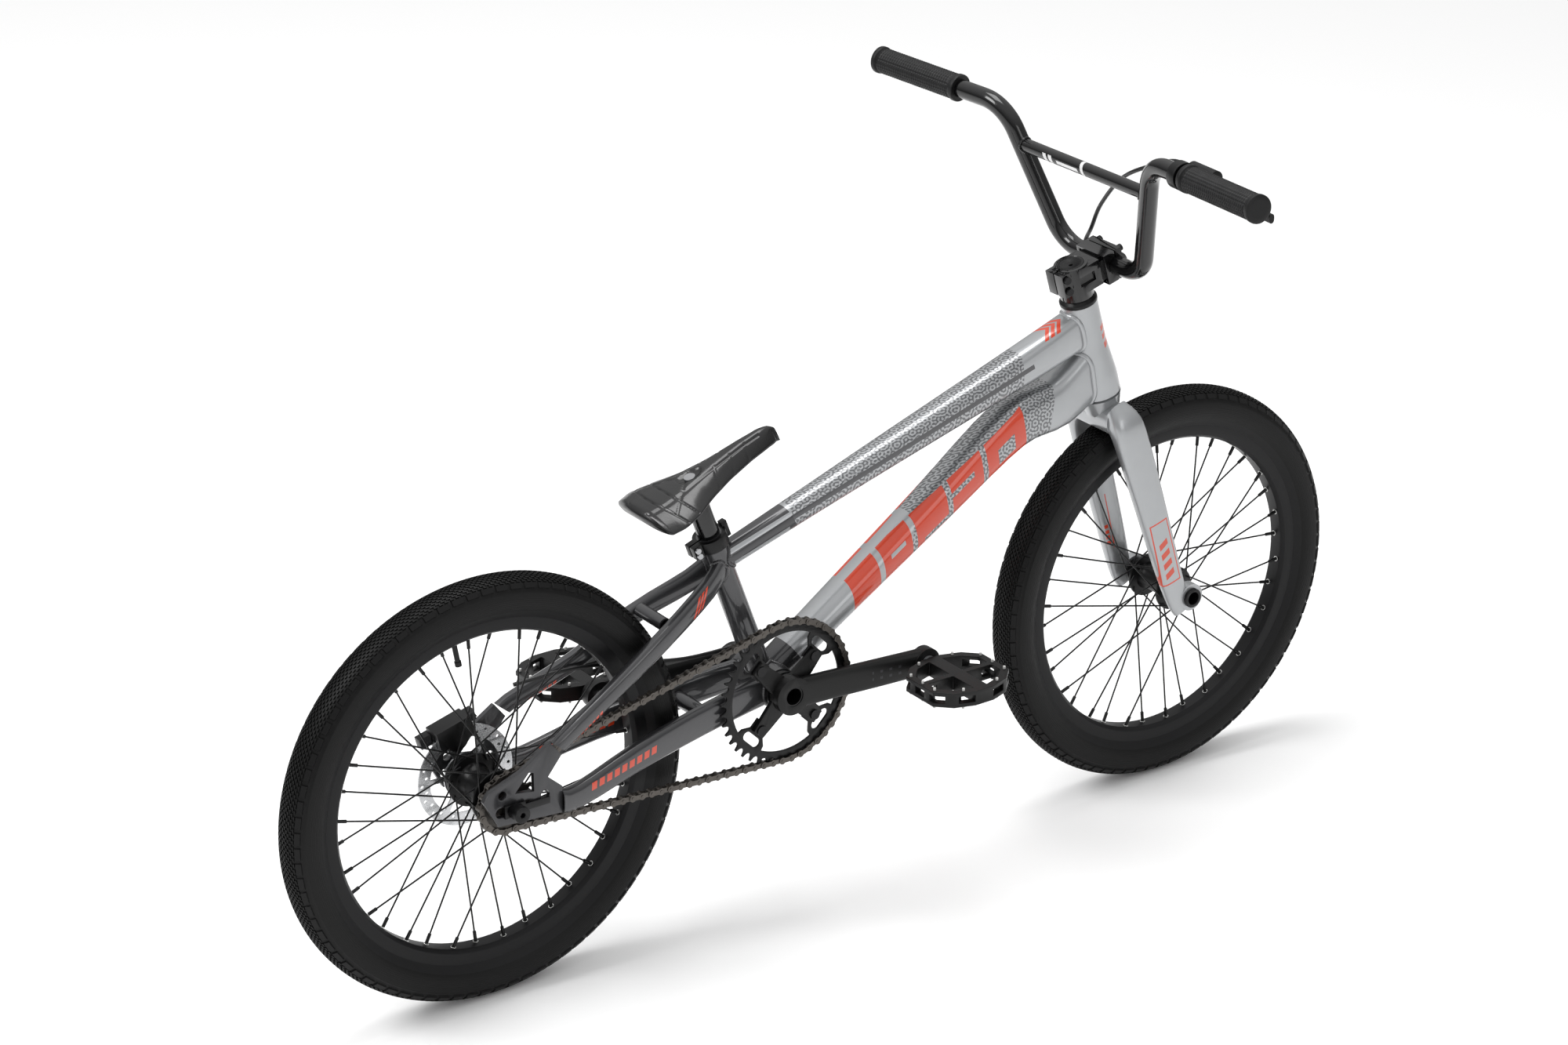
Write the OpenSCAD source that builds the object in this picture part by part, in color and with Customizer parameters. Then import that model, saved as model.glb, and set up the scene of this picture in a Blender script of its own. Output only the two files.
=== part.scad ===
// BMX race bike: welded frame, carbon fork, two spoked wheels, cranks, chain and one rear disc brake.
// The ground is z = 0, +X points forward and +Y to the rider's left; the origin lies mid-wheelbase.

/* [Wheels] */
// Distance between the two wheel axles
wheelbase = 958.6; // [900:0.1:1010]
// Outer diameter of a mounted 47-406 tyre
tyre_d = 500; // [490:1:510]
// Width of the tyre
tyre_w = 47; // [42:1:50]
// Outer diameter of the rim
rim_d = 410; // [405:1:414]
// Width of the rim
rim_w = 28; // [24:1:32]
// Height of the rim's box section
rim_h = 18; // [14:1:22]
// Spokes in each wheel
spoke_count = 36; // [28:4:36]
// Diameter of a spoke
spoke_d = 2; // [1.8:0.1:2.3]
// Radius of the spoke holes on the front hub's flanges
front_flange_r = 23; // [20:1:28]
// Radius of the spoke holes on the rear hub's flanges
rear_flange_r = 27; // [24:1:32]
// Distance between the flanges of a hub
flange_gap = 50; // [44:1:56]
// Width between the fork's dropouts
front_hub_w = 94; // [90:1:104]
// Width between the rear dropouts
rear_hub_w = 110; // [106:1:114]
// Diameter of the front through axle
front_axle_d = 20; // [15:1:20]
// Diameter of the rear axle
rear_axle_d = 10; // [9:0.5:12]

/* [Steering] */
// Angle of the steering axis from the ground
head_angle = 74; // [70:0.5:76]
// Distance from the steering axis to the front axle
fork_offset = 28; // [24:1:34]
// Distance along the steering axis from the front axle to the lower end of the head tube
fork_h = 293; // [285:1:310]
// Length of the head tube
head_tube_l = 123; // [105:1:130]
// Diameter of the head tube at its lower end
head_tube_low_d = 53; // [50:1:58]
// Diameter of the head tube at its upper end
head_tube_top_d = 44; // [42:1:48]
// Diameter of the steerer tube
steerer_d = 28.6; // [25.4:0.1:28.6]
// Height of the stem where it clamps the steerer
stem_h = 42; // [36:1:46]
// Distance from the steering axis to the handlebar clamp
stem_reach = 46; // [42:1:56]
// Height of the handlebar clamp above the headset cover
bar_clamp_h = 24; // [22:1:28]

/* [Handlebar] */
// Width of the handlebar over its ends
bar_w = 676; // [640:1:740]
// Diameter of the handlebar tube
bar_d = 22.2; // [22.2:0.1:25.4]
// Height of the grips over the clamp, measured along the steering axis
bar_rise = 168; // [150:1:190]
// Half the width between the uprights at the bottom
bar_low_half = 71; // [64:1:78]
// Half the width between the uprights at the crossbar
bar_cross_half = 115; // [100:1:124]
// Height of the crossbar over the clamp
crossbar_h = 121; // [100:1:130]
// Diameter of the crossbar
crossbar_d = 16; // [14:1:19]
// Length of a grip
grip_l = 138; // [120:1:145]
// Diameter of a grip
grip_d = 31; // [29:1:34]

/* [Frame] */
// Length of the chain stays from rear axle to bottom bracket
chain_stay_l = 370.4; // [366:0.1:378]
// Height of the bottom bracket over the axles
bb_rise = 32.5; // [20:0.5:40]
// Angle of the seat tube from the ground
seat_angle = 69.8; // [68:0.1:73]
// Length of the seat tube from the bottom bracket
seat_tube_l = 208; // [190:1:230]
// Diameter of the seat tube
seat_tube_d = 30; // [29:0.5:34]
// Diameter of the seat post
seat_post_d = 25.4; // [25.4:0.1:27.2]
// Length of the seat post
seat_post_l = 130; // [110:1:160]
// Width of the bottom bracket shell
bb_w = 68; // [66:1:73]
// Diameter of the bottom bracket shell
bb_d = 46; // [42:1:50]
// Wall of the frame tubes
tube_wall = 2; // [1.5:0.1:2.5]
// Thickness of the dropout plates
dropout_t = 6; // [5:0.5:7]

/* [Drivetrain] */
// Pitch of the chain
chain_pitch = 12.7; // [12.6:0.05:12.8]
// Teeth on the chainring
ring_teeth = 42; // [40:1:46]
// Teeth on the rear cog
cog_teeth = 16; // [14:1:18]
// Distance of the chain from the middle of the bike
chain_line = 45; // [43.5:0.5:46]
// Length of a crank arm between its axes
crank_l = 175; // [170:1:180]
// Angle of the right crank above the ground
crank_angle = 0.5; // [0:0.5:10]
// Diameter of the crank spindle
spindle_d = 24; // [22:1:24]
// Length of a pedal body across the bike
pedal_w = 100; // [90:1:106]
// Length of a pedal body along the bike
pedal_l = 108; // [94:1:112]

/* [Brake] */
// Diameter of the brake rotor
rotor_d = 120; // [110:1:130]
// Thickness of the brake rotor
rotor_t = 1.8; // [1.6:0.1:2]
// Diameter of the brake hose
hose_d = 5; // [4.5:0.1:5.5]
// Width of the brake lever's clamp
lever_clamp_w = 14; // [12:1:16]

/* [Saddle] */
// Length of the saddle
saddle_l = 192; // [180:1:220]
// Width of the saddle
saddle_w = 118; // [105:1:130]
// Nose-up tilt of the saddle
saddle_tilt = 19.5; // [5:0.5:22]

/* [Clearances] */
// Gap between pieces that are welded, bolted or pressed together
joint_gap = 0.1; // [0.05:0.05:0.2]
// Gap between pieces that move past each other
run_gap = 0.4; // [0.3:0.1:1]
// Gap between a shaft and the bore that it turns in
shaft_gap = 0.05; // [0.02:0.01:0.09]

/* [Hidden] */
$fn = 64;

tyre_r = tyre_d / 2;
rim_r = rim_d / 2;
rear = [-wheelbase / 2, 0, tyre_r];
front = [wheelbase / 2, 0, tyre_r];
bb = rear + [sqrt(chain_stay_l * chain_stay_l - bb_rise * bb_rise), 0, bb_rise];

// Steering frame: forward normal n, axis u; s runs up the axis from level with the front axle.
steer_n = [sin(head_angle), 0, cos(head_angle)];
steer_u = [-cos(head_angle), 0, sin(head_angle)];
steer_o = front - fork_offset * steer_n;
function steer_pt(n, y, s) = steer_o + n * steer_n + s * steer_u + [0, y, 0];
head_top_s = fork_h + head_tube_l;
cover_h = 9;
stem_low_s = head_top_s + cover_h + joint_gap;
clamp_s = stem_low_s + bar_clamp_h;

// Seat tube axis: t runs up from the bottom bracket.
seat_u = [-cos(seat_angle), 0, sin(seat_angle)];
function seat_pt(t, y) = bb + t * seat_u + [0, y, 0];

// ---------- Helpers ----------
function unit(v) = v / norm(v);
function tangent(p, i) = unit(p[min(i + 1, len(p) - 1)] - p[max(i - 1, 0)]);
function xyz(v) = [v[0], v[1], v[2]];
function oval(w, h, e, sides) = [for (k = [0 : sides - 1])
  let (c = cos(360 * k / sides), s = sin(360 * k / sides))
  [w * sign(c) * pow(abs(c), e), h * sign(s) * pow(abs(s), e)]];
function blend_pt(p, i, t) =
  let (a = p[max(i - 1, 0)], b = p[i], c = p[i + 1], d = p[min(i + 2, len(p) - 1)])
  0.5 * (2 * b + (c - a) * t + (2 * a - 5 * b + 4 * c - d) * t * t + (3 * b - a - 3 * c + d) * t * t * t);
function curve(p, steps) = concat([for (i = [0 : len(p) - 2], k = [0 : steps - 1])
  blend_pt(p, i, k / steps)], [p[len(p) - 1]]);

// A closed skin through rings of equal point count.
module skin(rings) {
  n = len(rings[0]);
  last = len(rings) - 1;
  sides = [for (i = [0 : last - 1], k = [0 : n - 1])
    [i * n + k, (i + 1) * n + k, (i + 1) * n + (k + 1) % n, i * n + (k + 1) % n]];
  caps = [[for (k = [0 : n - 1]) k], [for (k = [n - 1 : -1 : 0]) last * n + k]];
  polyhedron(points = [for (r = rings, q = r) q], faces = concat(sides, caps), convexity = 6);
}

// A tube or solid along controls of [x, y, z, half width, half height, squareness].
module loft(controls, steps = 4, sides = 24, grow = 0) {
  path = curve(controls, steps);
  pts = [for (v = path) xyz(v)];
  skin([for (i = [0 : len(path) - 1])
    let (t = tangent(pts, i), b = unit(cross([0, 0, 1], t)), n = cross(t, b))
    [for (q = oval(path[i][3] + grow, path[i][4] + grow, path[i][5], sides))
      pts[i] + q[0] * b + q[1] * n]]);
}

// A cord of constant radius along points.
module cord(points, steps, r, sides) {
  path = curve(points, steps);
  skin([for (i = [0 : len(path) - 1])
    let (t = tangent(path, i), b = unit(cross([0.01, 0.02, 1], t)), n = cross(t, b))
    [for (q = oval(r, r, 1, sides)) path[i] + q[0] * b + q[1] * n]]);
}

// Places the z axis from a towards b.
module along(a, b) {
  v = unit(b - a);
  translate(a) rotate([0, acos(v[2]), atan2(v[1], v[0])]) children();
}
module rod(a, b, r) along(a, b) cylinder(h = norm(b - a), r = r);
module across(p, l, r) translate(p) rotate([90, 0, 0]) cylinder(h = l, r = r, center = true);

// A bent tube through corner points: straight cylinders, and a skin of rings round each bend.
ring_turn = 8;
bend_sides = 20;
bend_inset = 0.02;
bend_overrun = 2;
function turn_at(p, i) = acos(unit(p[i] - p[i - 1]) * unit(p[i + 1] - p[i]));
function setback(p, i, bends) = i == 0 || i == len(p) - 1 ? 0 : bends[i] * tan(turn_at(p, i) / 2);
function bend_path(p, i, bends) =
  let (a = unit(p[i] - p[i - 1]), b = unit(p[i + 1] - p[i]), m = unit(b - (a * b) * a), r = bends[i],
    c = p[i] - setback(p, i, bends) * a + r * m, n = ceil(turn_at(p, i) / ring_turn))
  concat([c - r * m - bend_overrun * a],
    [for (k = [0 : n]) let (w = turn_at(p, i) * k / n) c - r * cos(w) * m + r * sin(w) * a],
    [p[i] + (setback(p, i, bends) + bend_overrun) * b]);
module bend(p, i, bends, r) {
  path = bend_path(p, i, bends);
  k = unit(cross(p[i] - p[i - 1], p[i + 1] - p[i]));
  skin([for (j = [0 : len(path) - 1]) let (t = tangent(path, j), n = cross(k, t))
    [for (q = oval(r - bend_inset, r - bend_inset, 1, bend_sides)) path[j] + q[0] * n + q[1] * k]]);
}
module bent_tube(p, bends, r) {
  for (i = [0 : len(p) - 2]) {
    d = unit(p[i + 1] - p[i]);
    rod(p[i] + d * setback(p, i, bends), p[i + 1] - d * setback(p, i + 1, bends), r);
  }
  for (i = [1 : len(p) - 2]) bend(p, i, bends, r);
}

module steer(n = 0, y = 0, s = 0)
  translate(steer_pt(n, y, s)) rotate([0, head_angle - 90, 0]) children();
module seat_axis(t = 0) translate(seat_pt(t, 0)) rotate([0, seat_angle - 90, 0]) children();
module at_axle(p) translate(p) rotate([90, 0, 0]) children();
module ring_solid(r_in, r_out, h) {
  rotate_extrude() translate([r_in, 0]) square([r_out - r_in, h]);
}

// ---------- Frame tubes ----------
head_low_r = head_tube_low_d / 2;
head_top_r = head_tube_top_d / 2;
head_wall = 3;
bearing_h = 7;
module head_tube_outline() {
  rotate_extrude() polygon([[0, 0], [head_low_r, 0], [head_low_r, 22],
    [head_top_r, 70], [head_top_r, head_tube_l], [0, head_tube_l]]);
}
module head_tube() color("silver") steer(0, 0, fork_h) difference() {
  head_tube_outline();
  translate([0, 0, -1]) cylinder(h = head_tube_l + 2, r = head_top_r - head_wall - 2);
  translate([0, 0, -1]) cylinder(h = bearing_h + 1, r = head_low_r - head_wall);
  translate([0, 0, head_tube_l - bearing_h]) cylinder(h = bearing_h + 1, r = head_top_r - head_wall);
}
// Cuts a frame tube back to the head tube that it is welded to.
module head_tube_mitre() steer(0, 0, fork_h - 40) {
  cylinder(h = 62 + joint_gap, r = head_low_r + joint_gap);
  translate([0, 0, 62]) cylinder(h = 48 + 0.01, r1 = head_low_r + joint_gap, r2 = head_top_r + joint_gap);
  translate([0, 0, 110]) cylinder(h = head_tube_l, r = head_top_r + joint_gap);
}
seat_tube_r = seat_tube_d / 2;
module seat_tube_mitre() seat_axis(-5) cylinder(h = seat_tube_l + 20, r = seat_tube_r + joint_gap);
bb_r = bb_d / 2;
module bb_mitre() across(bb, bb_w + 20, bb_r + joint_gap);

// Down tube: round at the bottom bracket, deep and flat-sided at the head tube.
down_end_s = fork_h + 38;
down_tube_path = [
  concat(bb + [0, 0, 0], [21, 19, 0.9]),
  concat(bb + [120, 0, 79], [23.5, 21, 0.85]),
  concat(bb + [235, 0, 154], [24, 24.5, 0.75]),
  concat(bb + [348, 0, 228], [24, 29, 0.62]),
  concat(steer_pt(-62, 0, down_end_s - 18), [22, 31, 0.55]),
  concat(steer_pt(0, 0, down_end_s), [19, 32, 0.5])];
hose_port_front = [280, 20, 541];
hose_port_rear = [-50, 21, 324];
module hose_ports() {
  translate(hose_port_front) rotate([0, 55, 25]) cylinder(h = 60, r = hose_d / 2 + 1.5, center = true);
  translate(hose_port_rear) rotate([0, 75, -25]) cylinder(h = 50, r = hose_d / 2 + 1.5, center = true);
}
module down_tube() color("silver") difference() {
  loft(down_tube_path, 4, 24);
  loft(down_tube_path, 4, 24, -tube_wall);
  head_tube_mitre();
  bb_mitre();
  seat_tube_mitre();
  hose_ports();
}

// Top tube: slopes from the head tube down to the seat tube and narrows on the way.
top_joint_t = 171;
top_joint_s = fork_h + 93;
top_tube_path = [
  concat(seat_pt(top_joint_t, 0), [14.5, 14.5, 0.95]),
  concat(seat_pt(top_joint_t, 0) + [90, 0, 30], [15.5, 15.5, 0.85]),
  concat(seat_pt(top_joint_t, 0) + [230, 0, 76], [17.5, 18, 0.75]),
  concat(seat_pt(top_joint_t, 0) + [370, 0, 121], [18.5, 21, 0.65]),
  concat(steer_pt(-60, 0, top_joint_s - 4), [18, 23, 0.55]),
  concat(steer_pt(0, 0, top_joint_s), [16, 24, 0.5])];
module top_tube() color("silver") difference() {
  loft(top_tube_path, 4, 24);
  loft(top_tube_path, 4, 24, -tube_wall);
  head_tube_mitre();
  seat_tube_mitre();
}

module seat_tube() color("dimgray") difference() {
  seat_axis() cylinder(h = seat_tube_l, r = seat_tube_r);
  seat_axis(-1) cylinder(h = seat_tube_l + 2, r = seat_post_d / 2 + shaft_gap);
  seat_axis(seat_tube_l - 20) translate([-seat_tube_r - 4, -1.5, 0]) cube([seat_tube_r, 3, 24]);
  bb_mitre();
}

module bottom_bracket_shell() color("dimgray") difference() {
  across(bb, bb_w, bb_r);
  across(bb, bb_w + 2, bb_r - 5);
}

// Chain stays: from the bottom bracket past the tyre to the dropout yokes.
stay_rear_y = rear_hub_w / 2 + dropout_t / 2;
function chain_stay_path(side) = [
  concat(bb + [4, side * 24, 0], [9, 17, 0.6]),
  concat(bb + [-45, side * 29, -3], [8, 18, 0.6]),
  concat(bb + [-115, side * 35, -12], [7, 18, 0.6]),
  concat(bb + [-200, side * 46, -24], [8, 17, 0.65]),
  concat(rear + [84, side * (stay_rear_y - 2), -10], [8, 14.5, 0.7]),
  concat(rear + [52, side * stay_rear_y, -7], [8, 13.5, 0.7])];
module stay_rear_cut(side) translate(rear + [0, side * stay_rear_y, 0])
  cube([2 * 62, 30, 90], center = true);
module chain_stay(side) color("dimgray") difference() {
  loft(chain_stay_path(side), 3, 18);
  loft(chain_stay_path(side), 3, 18, -tube_wall);
  bb_mitre();
  seat_tube_mitre();
  stay_rear_cut(side);
}

// Seat stays: from the seat tube past the tyre to the dropout yokes.
function seat_stay_path(side) = [
  concat(seat_pt(top_joint_t - 2, side * 8), [7, 13, 0.7]),
  concat(seat_pt(top_joint_t - 10, side * 17) + [-30, 0, -14], [7.5, 13, 0.7]),
  concat(seat_pt(top_joint_t, 0) + [-92, side * 34.5, -55], [7.5, 12, 0.7]),
  concat(seat_pt(top_joint_t, 0) + [-165, side * 43, -95], [7.5, 11, 0.7]),
  concat(rear + [68, side * (stay_rear_y - 1), 63], [7.5, 10, 0.75]),
  concat(rear + [50, side * stay_rear_y, 49], [7.5, 9.5, 0.75])];
module seat_stay_rear_cut(side) translate(rear + [46, side * stay_rear_y, 44])
  rotate([0, -50, 0]) cube([38, 30, 60], center = true);
module seat_stay(side) color("dimgray") difference() {
  loft(seat_stay_path(side), 3, 18);
  loft(seat_stay_path(side), 3, 18, -tube_wall);
  seat_tube_mitre();
  seat_stay_rear_cut(side);
  seat_axis() translate([joint_gap, -seat_tube_d, 0]) cube([seat_tube_d * 2, seat_tube_d * 2, seat_tube_l]);
}

// Bridges between the stays, ahead of the tyre.
seat_bridge = seat_pt(top_joint_t, 0) + [-88, 0, -47];
seat_bridge_w = 49;
chain_bridge = bb + [-98, 0, -9];
chain_bridge_w = 50;
module bridge(p, w, r) difference() {
  across(p, w, r);
  across(p, w + 2, r - tube_wall);
}
module stay_bridges() color("dimgray") {
  bridge(seat_bridge, seat_bridge_w, 8);
  bridge(chain_bridge, chain_bridge_w, 9);
}

// ---------- Dropouts ----------
slot_l = 34;
// A round-ended slot along x, l long between its end centres and centred on the origin.
module slot_outline(l, r) {
  for (x = [-l / 2, l / 2]) translate([x, 0]) circle(r = r);
  square([l, 2 * r], center = true);
}
module dropout_outline() {
  difference() {
    polygon([[-38, 18], [-20, -16], [62, -22], [62, 10], [44, 26], [62, 48], [48, 66],
      [10, 42], [-30, 28]]);
    slot_outline(slot_l, rear_axle_d / 2 + 1);
    polygon([[2, 18], [26, 14], [26, 36], [20, 38]]);
    translate([-14, 20]) circle(r = 5);
    translate([40, 6]) circle(r = 5.5);
  }
}
module dropout(side) color("dimgray") translate(rear + [0, side * stay_rear_y, 0])
  rotate([90, 0, 0]) linear_extrude(dropout_t, center = true) dropout_outline();

module chain_tensioners() color("#1c1c1e") for (side = [-1, 1]) {
  y = side * (rear_hub_w / 2 + dropout_t + joint_gap + 1.6);
  translate(rear + [0, y, 0]) difference() {
    union() {
      cube([26, 3, 15], center = true);
      translate([28, 0, 0]) cube([32, 3, 8], center = true);
    }
    across([0, 0, 0], 6, rear_axle_d / 2 + shaft_gap);
  }
}

// ---------- Bearings, clamp and axles ----------
module headset_bearings() color("#28282a") {
  steer(0, 0, fork_h + joint_gap)
    ring_solid(steerer_d / 2 + run_gap, head_low_r - head_wall - joint_gap, bearing_h - 2 * joint_gap);
  steer(0, 0, head_top_s - bearing_h + joint_gap)
    ring_solid(steerer_d / 2 + run_gap, head_top_r - head_wall - joint_gap, bearing_h - joint_gap);
}
cup_w = 8;
module bottom_bracket_cups() color("#1c1c1e") for (side = [-1, 1])
  difference() {
    across(bb + [0, side * (bb_w / 2 + joint_gap + cup_w / 2), 0], cup_w, bb_r - 1);
    across(bb + [0, side * (bb_w / 2 + cup_w / 2), 0], cup_w + 2, spindle_d / 2 + shaft_gap);
  }

clamp_h = 15;
clamp_t = seat_tube_l - clamp_h;
module seat_clamp() color("#1c1c1e") seat_axis(clamp_t) difference() {
  union() {
    cylinder(h = clamp_h, r = seat_tube_r + 4.5);
    translate([-seat_tube_r - 13, -9, 0]) cube([14, 18, clamp_h]);
    translate([seat_tube_r + 2, -4, 0]) cube([7, 8, clamp_h + 5]);
  }
  translate([0, 0, -1]) cylinder(h = clamp_h + 8, r = seat_tube_r + joint_gap);
  translate([-seat_tube_r - 14, -1, -1]) cube([14, 2, clamp_h + 2]);
  for (z = [4, 11]) translate([-seat_tube_r - 9, 0, z]) rotate([90, 0, 0])
    cylinder(h = 30, r = 2.1, center = true);
}
module seat_clamp_bolts() color("silver") seat_axis(clamp_t) for (z = [4, 11])
  translate([-seat_tube_r - 9, 0, z]) rotate([90, 0, 0]) {
    cylinder(h = 18, r = 2, center = true);
    translate([0, 0, 9 + joint_gap]) cylinder(h = 3, r = 3.3);
    translate([0, 0, 8.5]) cylinder(h = 1, r = 2);
  }

axle_r = rear_axle_d / 2;
axle_end_y = rear_hub_w / 2 + dropout_t + joint_gap + 3.2;
module rear_axle() color("#1c1c1e") translate(rear) difference() {
  union() {
    across([0, 0, 0], 2 * axle_end_y + 30, axle_r);
    for (side = [-1, 1]) across([0, side * (axle_end_y + 2 * joint_gap + 7.5), 0], 15, 9.5);
  }
  for (side = [-1, 1]) translate([0, side * (axle_end_y + 16), 0]) rotate([90, 0, 0])
    cylinder(h = 14, r = 3.4, center = true, $fn = 6);
}

// ---------- Brake ----------
rotor_r = rotor_d / 2;
rotor_y = 41;
caliper_angle = 105;
caliper_r = rotor_r - 7;
caliper_in_y = 9.8;
module at_caliper() translate(rear + [0, rotor_y, 0]) rotate([0, -caliper_angle, 0]) children();
module brake_caliper() color("#1c1c1e") at_caliper() difference() {
  union() {
    translate([caliper_r - 6, -caliper_in_y, -22]) cube([24, caliper_in_y + 14, 44]);
    translate([caliper_r - 1, 15, 0]) rotate([90, 0, 0]) cylinder(h = caliper_in_y + 15, r = 14);
    translate([caliper_r - 2, rear_hub_w / 2 - rotor_y - 6, -36]) cube([13, 11, 72]);
    translate([caliper_r + 8, 6, -34]) rotate([0, -20, 0]) cylinder(h = 12, r = 5);
  }
  translate([0, -2.2, -40]) cube([rotor_r + 4 , 4.4, 80]);
  translate([caliper_r - 12, -8.5, -12]) cube([19, 17, 24]);
}
pad_t = 3.6;
module brake_pads() color("#6b5a4a") at_caliper() for (side = [-1, 1])
  translate([caliper_r - 7, side * (rotor_t / 2 + run_gap + pad_t / 2) - pad_t / 2, -10])
    cube([13, pad_t, 20]);

module brake_rotor() color("gainsboro") translate(rear + [0, rotor_y, 0]) rotate([90, 0, 0])
  linear_extrude(rotor_t, center = true) difference() {
    circle(r = rotor_r);
    difference() {
      circle(r = rotor_r - 15);
      circle(r = 27);
      for (k = [0 : 5]) rotate(60 * k) translate([22, -5]) square([rotor_r - 30, 6]);
    }
    circle(r = rotor_bore_r);
    for (k = [0 : 5]) rotate(60 * k + 30) translate([rotor_bolt_r, 0]) circle(r = 2.7);
    for (k = [0 : 17]) rotate(20 * k) {
      translate([rotor_r - 5, 0]) circle(r = 2);
      rotate(10) translate([rotor_r - 10, 0]) circle(r = 2);
    }
  }
rotor_bore_r = 17.6;
rotor_bolt_r = 22;
module rotor_bolts() color("silver") translate(rear) for (k = [0 : 5]) rotate([0, 60 * k + 30, 0])
  translate([rotor_bolt_r, rotor_y + rotor_t / 2 + joint_gap, 0]) rotate([-90, 0, 0]) {
    cylinder(h = 2, r = 4);
    translate([0, 0, -rotor_t - 6]) cylinder(h = rotor_t + 6.5, r = 2.5);
  }

// ---------- Wheels ----------
tyre_half_w = tyre_w / 2;
tyre_c = rim_r + (tyre_r - rim_r) * 0.48;
rim_edge_y = rim_w / 2;
bead_y = rim_edge_y - 2.4 - joint_gap;
function tyre_arc(grow, a0) = [for (a = [-a0 : 12 : a0 + 0.1])
  let (c = cos(a), s = sin(a))
  [tyre_c + (tyre_r - tyre_c - grow) * sign(c) * pow(abs(c), 0.85),
   (tyre_half_w - grow) * sign(s) * pow(abs(s), 0.9)]];
module tyre() color("#1a1a1a") at_axle([0, 0, 0]) rotate_extrude($fn = 96) difference() {
  polygon(concat([[rim_r - 5, -bead_y], [rim_r + 1, -bead_y]], tyre_arc(0, 132),
    [[rim_r + 1, bead_y], [rim_r - 5, bead_y]]));
  polygon(concat([[rim_r - 6, -bead_y + 4]], tyre_arc(3.5, 120), [[rim_r - 6, bead_y - 4]]));
}
rim_in_r = rim_r - rim_h;
rim_in_y = rim_w * 0.3;
module rim(valve_angle) color("#202022") difference() {
  at_axle([0, 0, 0]) rotate_extrude($fn = 96) difference() {
    polygon([[rim_in_r, -rim_in_y], [rim_in_r + 4, -rim_edge_y + 1], [rim_r - 1, -rim_edge_y],
      [rim_r, -rim_edge_y + 1], [rim_r - 0.5, -rim_edge_y + 2.4], [rim_r - 9, -rim_edge_y + 2.4],
      [rim_r - 10, -rim_edge_y + 8], [rim_r - 10, rim_edge_y - 8], [rim_r - 9, rim_edge_y - 2.4],
      [rim_r - 0.5, rim_edge_y - 2.4], [rim_r, rim_edge_y - 1], [rim_r - 1, rim_edge_y],
      [rim_in_r + 4, rim_edge_y - 1], [rim_in_r, rim_in_y]]);
    polygon([[rim_in_r + 1.5, -rim_in_y + 1], [rim_in_r + 5, -rim_edge_y + 3.4],
      [rim_r - 11.5, -rim_edge_y + 4], [rim_r - 11.5, rim_edge_y - 4],
      [rim_in_r + 5, rim_edge_y - 3.4], [rim_in_r + 1.5, rim_in_y - 1]]);
  }
  rotate([0, valve_angle, 0]) translate([rim_in_r - 2, 0, 0]) rotate([0, 90, 0])
    cylinder(h = rim_h + 6, r = valve_r + joint_gap);
}
valve_r = 3;
module valve(valve_angle) color("silver") rotate([0, valve_angle, 0])
  translate([rim_in_r - 24, 0, 0]) rotate([0, 90, 0]) {
    cylinder(h = 24 + 8, r = valve_r);
    translate([0, 0, -5.5]) cylinder(h = 5.5, r = 3.8);
  }

front_valve_angle = -100;
rear_valve_angle = -100;
// Spokes cross three others on their own side of the wheel and end in nipples at the rim.
flange_t = 3.2;
nipple_l = 12;
nipple_gap = 0.3;
// Outer spokes lean in over the flange, so they start further out from it.
spoke_lean = 2.4;
module spokes(flange_r) color("#18181a") {
  half = spoke_count / 2;
  for (side = [-1, 1], k = [0 : half - 1]) {
    out = k % 2 == 0 ? 1 : -1;
    rim_a = 360 * (k + (side > 0 ? 0.25 : 0.75)) / half;
    hub_a = rim_a + out * 3 * 360 / spoke_count * 1.9;
    lean = out > 0 ? spoke_lean : nipple_gap;
    hub_y = side * (flange_gap / 2 + out * (flange_t / 2 + spoke_d / 2 + lean));
    a = [flange_r * cos(hub_a), hub_y, flange_r * sin(hub_a)];
    b = [(rim_in_r - nipple_gap) * cos(rim_a), side * 3, (rim_in_r - nipple_gap) * sin(rim_a)];
    v = unit(b - a);
    rod(a, b - v * 4, spoke_d / 2);
    along(b - v * nipple_l, b) difference() {
      cylinder(h = nipple_l - 0.7, r = 2);
      translate([0, 0, -1]) cylinder(h = nipple_l - 2, r = spoke_d / 2 + joint_gap);
    }
  }
}
module hub(flange_r, profile, bore_r) color("#18181a") at_axle([0, 0, 0]) difference() {
  rotate_extrude() polygon(profile);
  cylinder(h = 200, r = bore_r, center = true);
}
front_axle_r = front_axle_d / 2;
flange_y = flange_gap / 2;
function half_hub(flange_r, waist_r, end_r, end_y) = [[waist_r, flange_y - 12],
  [flange_r - 6, flange_y - flange_t / 2], [flange_r + 4, flange_y - flange_t / 2],
  [flange_r + 4, flange_y + flange_t / 2], [end_r, flange_y + flange_t / 2 + 3], [end_r, end_y]];
function flipped(p) = [for (i = [len(p) - 1 : -1 : 0]) [p[i][0], -p[i][1]]];
front_end_y = front_hub_w / 2 - run_gap;
front_hub_side = half_hub(front_flange_r, 15, 14, front_end_y);
front_hub_profile = concat([[2, -front_end_y]], flipped(front_hub_side), front_hub_side,
  [[2, front_end_y]]);
rotor_seat_y = rotor_y - rotor_t / 2 - joint_gap;
cog_y = -chain_line;
drive_y = -34;
rear_end_y = rear_hub_w / 2 - run_gap;
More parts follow.
